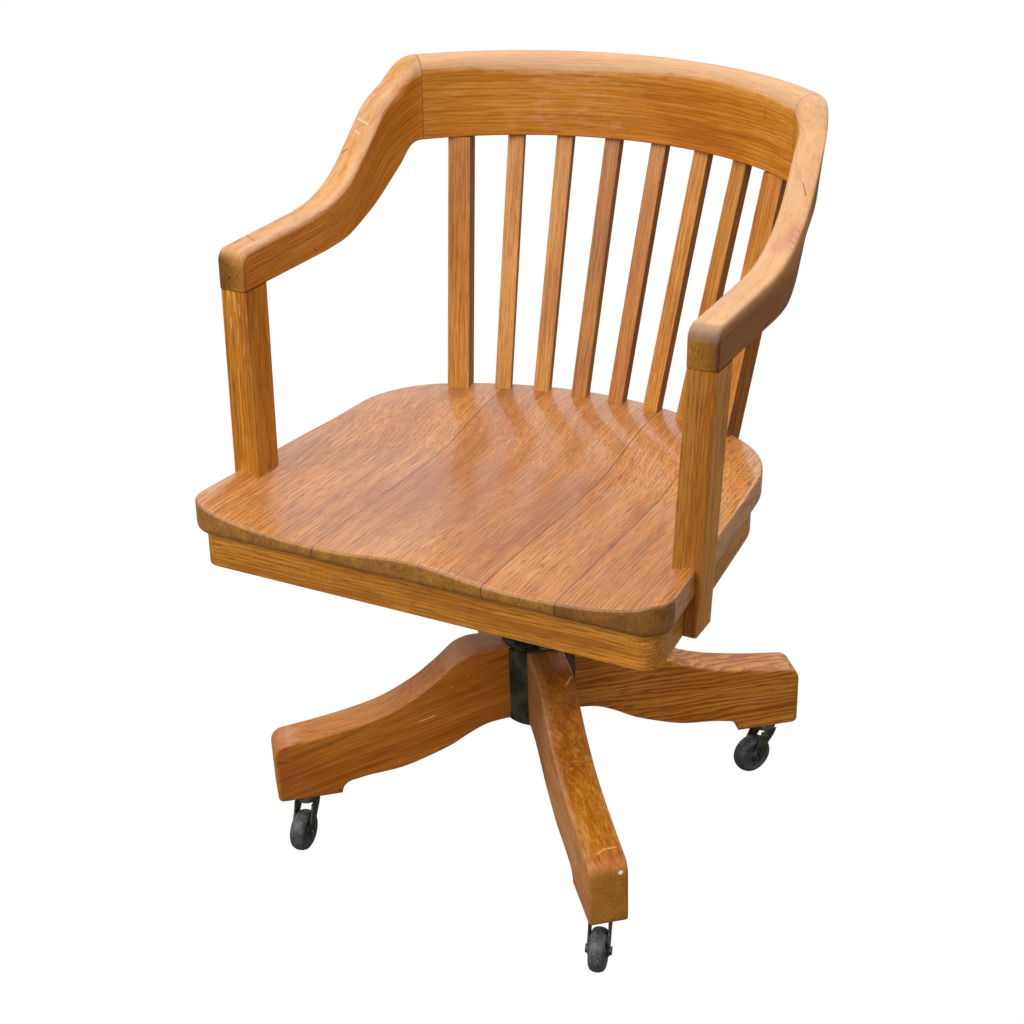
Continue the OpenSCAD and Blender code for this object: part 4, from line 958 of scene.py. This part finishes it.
def arm_section(k, line, normal, run, shrink):
    """One section of the arm, as place in the chair and place in the section.

    The outer face of the ramp leans in towards the bottom. Towards the joint the section's roll and
    height grow into the crest's own.
    """
    c, n = line[k], normal[k]
    left = run[-1] - run[k]
    to_joint = ease((95 - left) / 95)
    flush = ease((42 - left) / 42)
    roll_in = 6.0 + (ROLL_IN - 6.0) * to_joint
    roll_out = 3.5 + (ROLL_OUT - 3.5) * flush
    height = float(arm_top(c[1]) - arm_under(c[1]))
    height += (CREST_TOP - CREST_LOW - height) * flush
    ring = rounded_ring(-BOW_TH / 2 + shrink, BOW_TH / 2 - shrink, shrink, height - shrink,
                        (ARRIS, roll_out, roll_in, ARRIS), 9)
    lean = BACK_LEAN * ease((c[1] + 10) / 100)
    lean += (JOINT_LEAN - lean) * ease((70 - left) / 50)
    out = []
    for a, b in ring:
        a = undercut(a, height - b, lean)
        x, y = c[0] + n[0] * a, c[1] + n[1] * a
        low = float(arm_under(y)) * (1 - flush) + CREST_LOW * flush
        top = float(arm_top(max(y, ARM_FRONT + 0.01))) * (1 - flush) + CREST_TOP * flush
        out.append((x, y, low + b / height * (top - low), a, b))
    return out


def add_arm(side, name, material):
    """An arm: sections along its middle line, closed by a worn end-grain nose and a glue joint."""
    line, normal, run = arm_way()
    plan = [(0, 3.0), (0, 1.2), (1, 0.35)] + [(k, 0.0) for k in range(2, len(line))]
    # The arm's top is paled by wear and by a painted sheen, less on the left arm.
    rub_and_sheen = 0.85 if side > 0 else 0.64
    points, grain, worn, end, grime_and_shade = [], [], [], [], []
    for i, (k, shrink) in enumerate(plan):
        nose = float(ease((6 - run[k]) / 6))
        for x, y, z, a, b in arm_section(k, line, normal, run, shrink):
            points.append((side * x, y, z))
            grain.append((run[k] + 2000 * side, a + 55, z - 0.85 * (float(arm_top(y)) - TOP_FRONT) - 520))
            top = float(ease((b - (arm_top(y) - arm_under(y)) + 10) / 7))
            # Painted shade on the arm's outer face below its top, in the tone's dark channel.
            outer = 0.75 * float(ease(a / 10) * (1 - ease((b - 30) / 14)))
            worn.append(0.15 * float(ease(-a / 10)) + rub_and_sheen * top)
            end.append(nose)
            grime_and_shade.append(0.95 if i == len(plan) - 1 else max(0.08 * nose, outer))
    tone = tones(worn, end, grime_and_shade, 0)
    faces = tube_faces(len(plan), len(points) // len(plan))
    add_piece(name, "oak", place_seat(points), faces, material, "seat", grain, tone)


# ---- legs

LEG_TURNS = {"front": -50.7, "right": 39.3, "back": 129.3, "left": 219.3}  # degrees round from +X
LEG_TOP_SHAPE = [(0, 0), (0.08, 0.07), (0.18, 0.29), (0.31, 0.53), (0.47, 0.735), (0.63, 0.85), (0.81, 0.935),
                 (1, 1)]
LEG_LOW_SHAPE = [(0, 0), (0.1, 0.06), (0.3, 0.13), (0.47, 0.3), (0.63, 0.51), (0.76, 0.76), (0.88, 0.94),
                 (1, 1)]
HUB_TOP, HUB_LOW, HUB_R = 237.0, 140.0, 44.0
PAD_Z, LEG_REACH, LEG_TH = 71.0, 313.5, 42.0  # underside of the leg's end, its reach and its thickness
LEG_ARRIS = 3.2
CASTER_REACH, SOCKET_R, SOCKET_TOP = 279.6, 5.66, 104.0  # the caster's stem and the hole for its socket
# Above this line a leg's top is paled by wear and by a painted sheen from the sky overhead.
RUB_AND_SHEEN_LINE = ((78, 150, 297), (231, 190, 143))  # reach and height below which a leg keeps its varnish


def leg_outline():
    """Side view of a leg, counter-clockwise: the pad's underside, the nose, the ogee top and underside."""
    top = ogee((78, HUB_TOP), (LEG_REACH - 16, 149), LEG_TOP_SHAPE, 5)
    nose = arc((LEG_REACH - 16, 133), 16, 90, 0, 8)
    toe = arc((LEG_REACH - 6, PAD_Z + 6), 6, 0, -90, 5)
    cove = arc((LEG_REACH - 90, PAD_Z), 16, 0, 90, 8)
    under = ogee((LEG_REACH - 90, PAD_Z + 16), (HUB_R, HUB_LOW), LEG_LOW_SHAPE, 5)
    line = np.concatenate([[[28, HUB_LOW], [28, HUB_TOP]], top, nose[1:], toe, cove, under[1:]])
    return resample(line[::-1], 3.2)


def add_leg(name, material, seed, slope):
    """A leg: its side view through its thickness, with arrises rounded over; slope turns its grain."""
    line = leg_outline()
    r, half = LEG_ARRIS, LEG_TH / 2
    side = [(r + 2.5, half)] + [(r * (1 - sin(a)), half - r * (1 - cos(a)))
                                for a in np.radians(np.linspace(0, 90, 6))]
    profile = side + [(0, 0.0)] + [(by, -w) for by, w in reversed(side)]
    turn = radians(LEG_TURNS[name])
    c, s, ct, st = cos(turn), sin(turn), cos(slope), sin(slope)
    points, grain, worn, end, dark, pink = [], [], [], [], [], []
    for by, w in profile:
        for u, z in inset(line, by):
            points.append((c * u - s * w, s * u + c * w, z))
            grain.append((ct * u + st * z + 700 * seed, w + 90, ct * z - st * u - 60 + 25 * (seed % 3)))
            tip = ease((u - 307) / 5)
            end.append(tip)
            pink.append(0.55 * ease((u - 292) / 8) * (1 - tip) if name in ("front", "left") else 0.0)
            # Painted shade on the front leg towards the hub, under the seat, in the tone's dark channel.
            dark.append(0.5 * (1 - ease((u - 96) / 40)) * (name == "front"))
            # Paler top above the line: wear and painted sheen.
            upper = ease((z - np.interp(u, *RUB_AND_SHEEN_LINE)) / 8)
            worn.append(0.15 + 0.7 * upper if name != "front" else 0.08 + 0.55 * ease(-w / half))
    tone = tones(worn, end, dark, pink)
    piece = add_piece(f"leg_{name}", "oak", place_base(points), tube_faces(len(profile), len(line)), material,
                      "base", grain, tone)
    bore_socket(piece, turn)


def bore_socket(piece, turn):
    """The blind hole under the leg's end for the caster's socket."""
    rings = revolve([(SOCKET_R, 60.0), (SOCKET_R, SOCKET_TOP)], 32)
    rings[..., 0] += CASTER_REACH * cos(turn)
    rings[..., 1] += CASTER_REACH * sin(turn)
    mesh = new_mesh("bore", place_base(rings), tube_faces(*rings.shape[:2]))
    tidy(mesh, 38)
    tool = add_object("bore", mesh)
    cut = piece.modifiers.new("bore", "BOOLEAN")
    cut.operation, cut.object, cut.solver = "DIFFERENCE", tool, "EXACT"
    depsgraph = bpy.context.evaluated_depsgraph_get()
    result = bpy.data.meshes.new_from_object(piece.evaluated_get(depsgraph))
    piece.modifiers.clear()
    piece.data = result
    bpy.data.objects.remove(tool)


# ---- spring and screw

ROD_Y = -59.92  # the tension rod, which the spring is round
SPRING_LOW, SPRING_HIGH, SPRING_R, WIRE, SPRING_TURNS = 314.1, 359.7, 14.0, 4.0, 6.0
SCREW_LOW, SCREW_PLAIN, SCREW_HIGH, SCREW_R = 163.0, 326.0, 362.0, 12.5  # the thread ends at SCREW_PLAIN
PITCH, THREAD = 6.0, 1.1  # pitch and depth of the thread


def add_spring(material):
    """The tension spring: round wire wound in six even turns, its ends cut square."""
    steps, around = 288, 12
    t = np.linspace(0, 1, steps + 1)[:, None]
    a = 2 * pi * SPRING_TURNS * t
    b = 2 * pi * np.arange(around) / around
    out = SPRING_R + WIRE / 2 * np.cos(b)
    z = SPRING_LOW + WIRE / 2 + (SPRING_HIGH - SPRING_LOW - WIRE) * t + WIRE / 2 * np.sin(b)
    rings = np.stack([out * np.cos(a), ROD_Y + out * np.sin(a), z], -1)
    piece = add_piece("tension_spring", "wire", place_base(rings), tube_faces(steps + 1, around), material,
                      "head")
    anchor = place_base([(0, ROD_Y, SPRING_HIGH)])[0]
    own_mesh(piece)


def add_screw(material):
    """The screw post: a square thread cut in the round bar, left plain where the head grips it."""
    rows, around = 420, 48
    z = np.linspace(SCREW_LOW, SCREW_HIGH, rows + 1)[:, None]
    share = np.arange(around) / around
    flank = ease((0.33 - abs((z / PITCH - share) % 1 - 0.5)) / 0.12)
    eased = 1 - ease(np.minimum(z - SCREW_LOW, SCREW_HIGH - z))
    out = SCREW_R - THREAD * flank * ease((SCREW_PLAIN - z) / 4) - eased
    a = 2 * pi * share
    rings = np.stack([out * np.cos(a), out * np.sin(a), z + 0 * out], -1)
    add_piece("screw_post", "thread", place_base(rings), tube_faces(rows + 1, around), material, "head")


# ---- casters

CASTERS = {"front": -75.0, "right": -123.0, "back": -96.0, "left": -82.0}  # degrees; the wheel trails there
WHEEL_R, WHEEL_W, TRAIL, AXLE_R = 24.0, 18.3, 17.8, 3.0
CROWN_Z, CAP_R = 58.0, 13.0  # height of the fork's crown and radius of its cap
FORK_IN, CHEEK = 9.75, 2.3  # half the fork's inner width and thickness of a cheek
CHEEK_EDGE = ((0.9, 0.0), (0.35, 0.05), (0.0, 0.5), (0.0, CHEEK - 0.7), (0.5, CHEEK - 0.1), (1.2, CHEEK))


def at_caster(name, p):
    """Points drawn with the stem at the origin and the wheel trailing along +X, put at that leg's end."""
    a, t = radians(LEG_TURNS[name]), radians(CASTERS[name])
    q = np.array(p, float).reshape(-1, 3)
    out = np.empty_like(q)
    out[:, 0] = CASTER_REACH * cos(a) + q[:, 0] * cos(t) - q[:, 1] * sin(t)
    out[:, 1] = CASTER_REACH * sin(a) + q[:, 0] * sin(t) + q[:, 1] * cos(t)
    out[:, 2] = q[:, 2]
    return place_base(out)


def add_wheel(name, material):
    """A caster wheel: crowned tread, dished sides and a raised boss round the axle."""
    h, around = WHEEL_W / 2, 72
    half = [(AXLE_R + 0.1, h), (6.2, h), (6.9, h - 0.5), (7.4, h - 1.5), (15.0, h - 1.9), (16.6, h - 1.2),
            (17.6, h - 0.4), (19.2, h - 0.3), (20.6, h - 1.1)]
    crown = [(WHEEL_R - 2.1 * (abs(v) / 7.2) ** 2.2, v) for v in np.linspace(7.2, -7.2, 17)]
    profile = half + crown + [(r, -w) for r, w in reversed(half)]
    flat = revolve(profile, around).reshape(-1, 3)
    turned = np.stack([TRAIL + flat[:, 0], flat[:, 2], WHEEL_R + flat[:, 1]], -1)
    last = (len(profile) - 1) * around
    faces = ring_faces(len(profile), around)
    faces += [(last + j, last + (j + 1) % around, (j + 1) % around, j) for j in range(around)]
    add_piece(f"caster_wheel_{name}", "tread", at_caster(name, turned), faces, material, f"wheel_{name}",
              edge=30)


def cheek_outline():
    """Side view of a fork cheek: wide under the cap, waisted, ending in a round eye at the axle."""
    left = smooth_line([(-CAP_R + 3, CROWN_Z), (-6.0, 50.0), (3.5, 38.0), (11.6, 24.5)], 6)
    eye = arc((TRAIL, WHEEL_R), 6.5, 190, 350, 14)
    right = smooth_line([(24.4, 25.5), (20.0, 38.0), (14.5, 49.0), (CAP_R - 1, CROWN_Z)], 6)
    return resample(np.concatenate([left, eye, right]), 1.3)


def cap_and_stem():
    """Profile of the fork's dished cap with its rolled rim, and of the stem on it."""
    cap = [(2.0, 0), (0.5, 0.3), (0, 1.2), (0.2, 2.4), (0.8, 4.4), (1.8, 6.6), (3.4, 8.6), (5.2, 9.9)]
    return ([(0.02, CROWN_Z)] + [(CAP_R - inward, CROWN_Z + up) for inward, up in cap]
            + [(8.6, CROWN_Z + 10.4), (8.2, 70.7), (4.0, 70.7), (4.0, 99.0), (3.2, 100.0), (0.02, 100.0)])


def add_fork(name, material):
    """A stamped caster fork: dished cap with a rolled rim, a stem, and two cheeks with pressed edges."""
    tubes = [revolve(cap_and_stem(), 48)]
    for side in (-1, 1):
        tubes.append(np.array([[(x, side * (FORK_IN + w), z) for x, z in inset(cheek_outline(), by)]
                               for by, w in CHEEK_EDGE]))
    points, faces = [], []
    for tube in tubes:
        start = len(points)
        points.extend(tube.reshape(-1, 3))
        faces.extend(tuple(i + start for i in face) for face in tube_faces(*tube.shape[:2]))
    add_piece(f"caster_fork_{name}", "steel", at_caster(name, points), faces, material, f"fork_{name}",
              edge=35)


# ---- the frame's own nodes

def paint_nodes(names, material):
    """Gives nodes of the frame a material on each of their slots."""
    for name in names:
        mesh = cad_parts[name].data
        if not mesh.materials:
            mesh.materials.append(material)
        for i in range(len(mesh.materials)):
            mesh.materials[i] = material


def add_studio():
    """Camera, sky, floor and two soft lights."""
    add_camera()
    add_world(0.26, 0.95)
    add_floor()
    add_area_light("window_key", 2.2, 66, (-0.7, -2.1, 2.5), (0, 0, 0.45), (1.0, 0.985, 0.96))
    add_area_light("sky_fill", 2.6, 26, (0.4, 1.6, 2.7), (0, 0, 0.5), (0.97, 0.985, 1.0))


def main():
    """Everything, from the camera to the materials on the frame's own nodes."""
    add_studio()
    bow, bars, seat, legs, front, right = (oak("varnished_oak_" + k, LOOKS[k]) for k in (
        "bow", "bars", "seat", "legs", "leg_front", "leg_right"))
    iron = cast_iron()
    worn = steel("worn_machined_steel", "#3B3A36", "#77746C", "#B0ABA0", 0.3, (3, 3, 0.5))
    screws = steel("zinc_screw_steel", "#55524A", "#8A867B", "#B9B5AA", 0.35, (1, 1, 1))
    springs = steel("oiled_spring_steel", "#23221F", "#3F3D39", "#6A665E", 0.32, (1.2, 1.2, 5))
    stamped = steel("stamped_caster_steel", "#23241D", "#3E4036", "#7C7B6C", 0.36, (2.5, 2.5, 6))
    add_seat(seat)
    add_uprights(bars)
    add_crest(bow)
    add_arm(-1, "arm_left", bow)
    add_arm(1, "arm_right", bow)
    for name, wood, seed, slope in (("front", front, 1, 0.0), ("right", right, 2, 0.0),
                                    ("back", legs, 3, 0.05), ("left", legs, 4, -0.27)):
        add_leg(name, wood, seed, slope)
    add_spring(springs)
    add_screw(worn)
    rubber = composition()
    for name in CASTERS:
        add_wheel(name, rubber)
        add_fork(name, stamped)
    apron = LOOKS["apron"]
    paint_nodes(["apron_front", "apron_back", "corner_blocks"],
                oak_of_node("varnished_oak_apron_across", apron, "x", 3))
    paint_nodes(["apron_left", "apron_right"], oak_of_node("varnished_oak_apron_sides", apron, "y", 5))
    paint_nodes(["bow_dowels"], oak_of_node("turned_oak_dowel", LOOKS["bars"], "x", 8))
    paint_nodes(["tilt_head", "seat_iron_left", "seat_iron_right", "hub", "hub_top_plate", "hub_bottom_plate",
                 "height_nut", "tension_knob"], iron)
    paint_nodes(["tilt_pivot_pin", "anchor_pin", "tension_rod", "tension_washer", "thrust_washer"], worn)
    paint_nodes(["block_screws", "seat_screws", "leg_screws"], screws)
    paint_nodes(["hub_sleeve"], bronze())
    paint_nodes(["caster_sockets"] + [f"caster_axle_{n}" for n in CASTERS], stamped)


main()
bpy.context.view_layer.update()
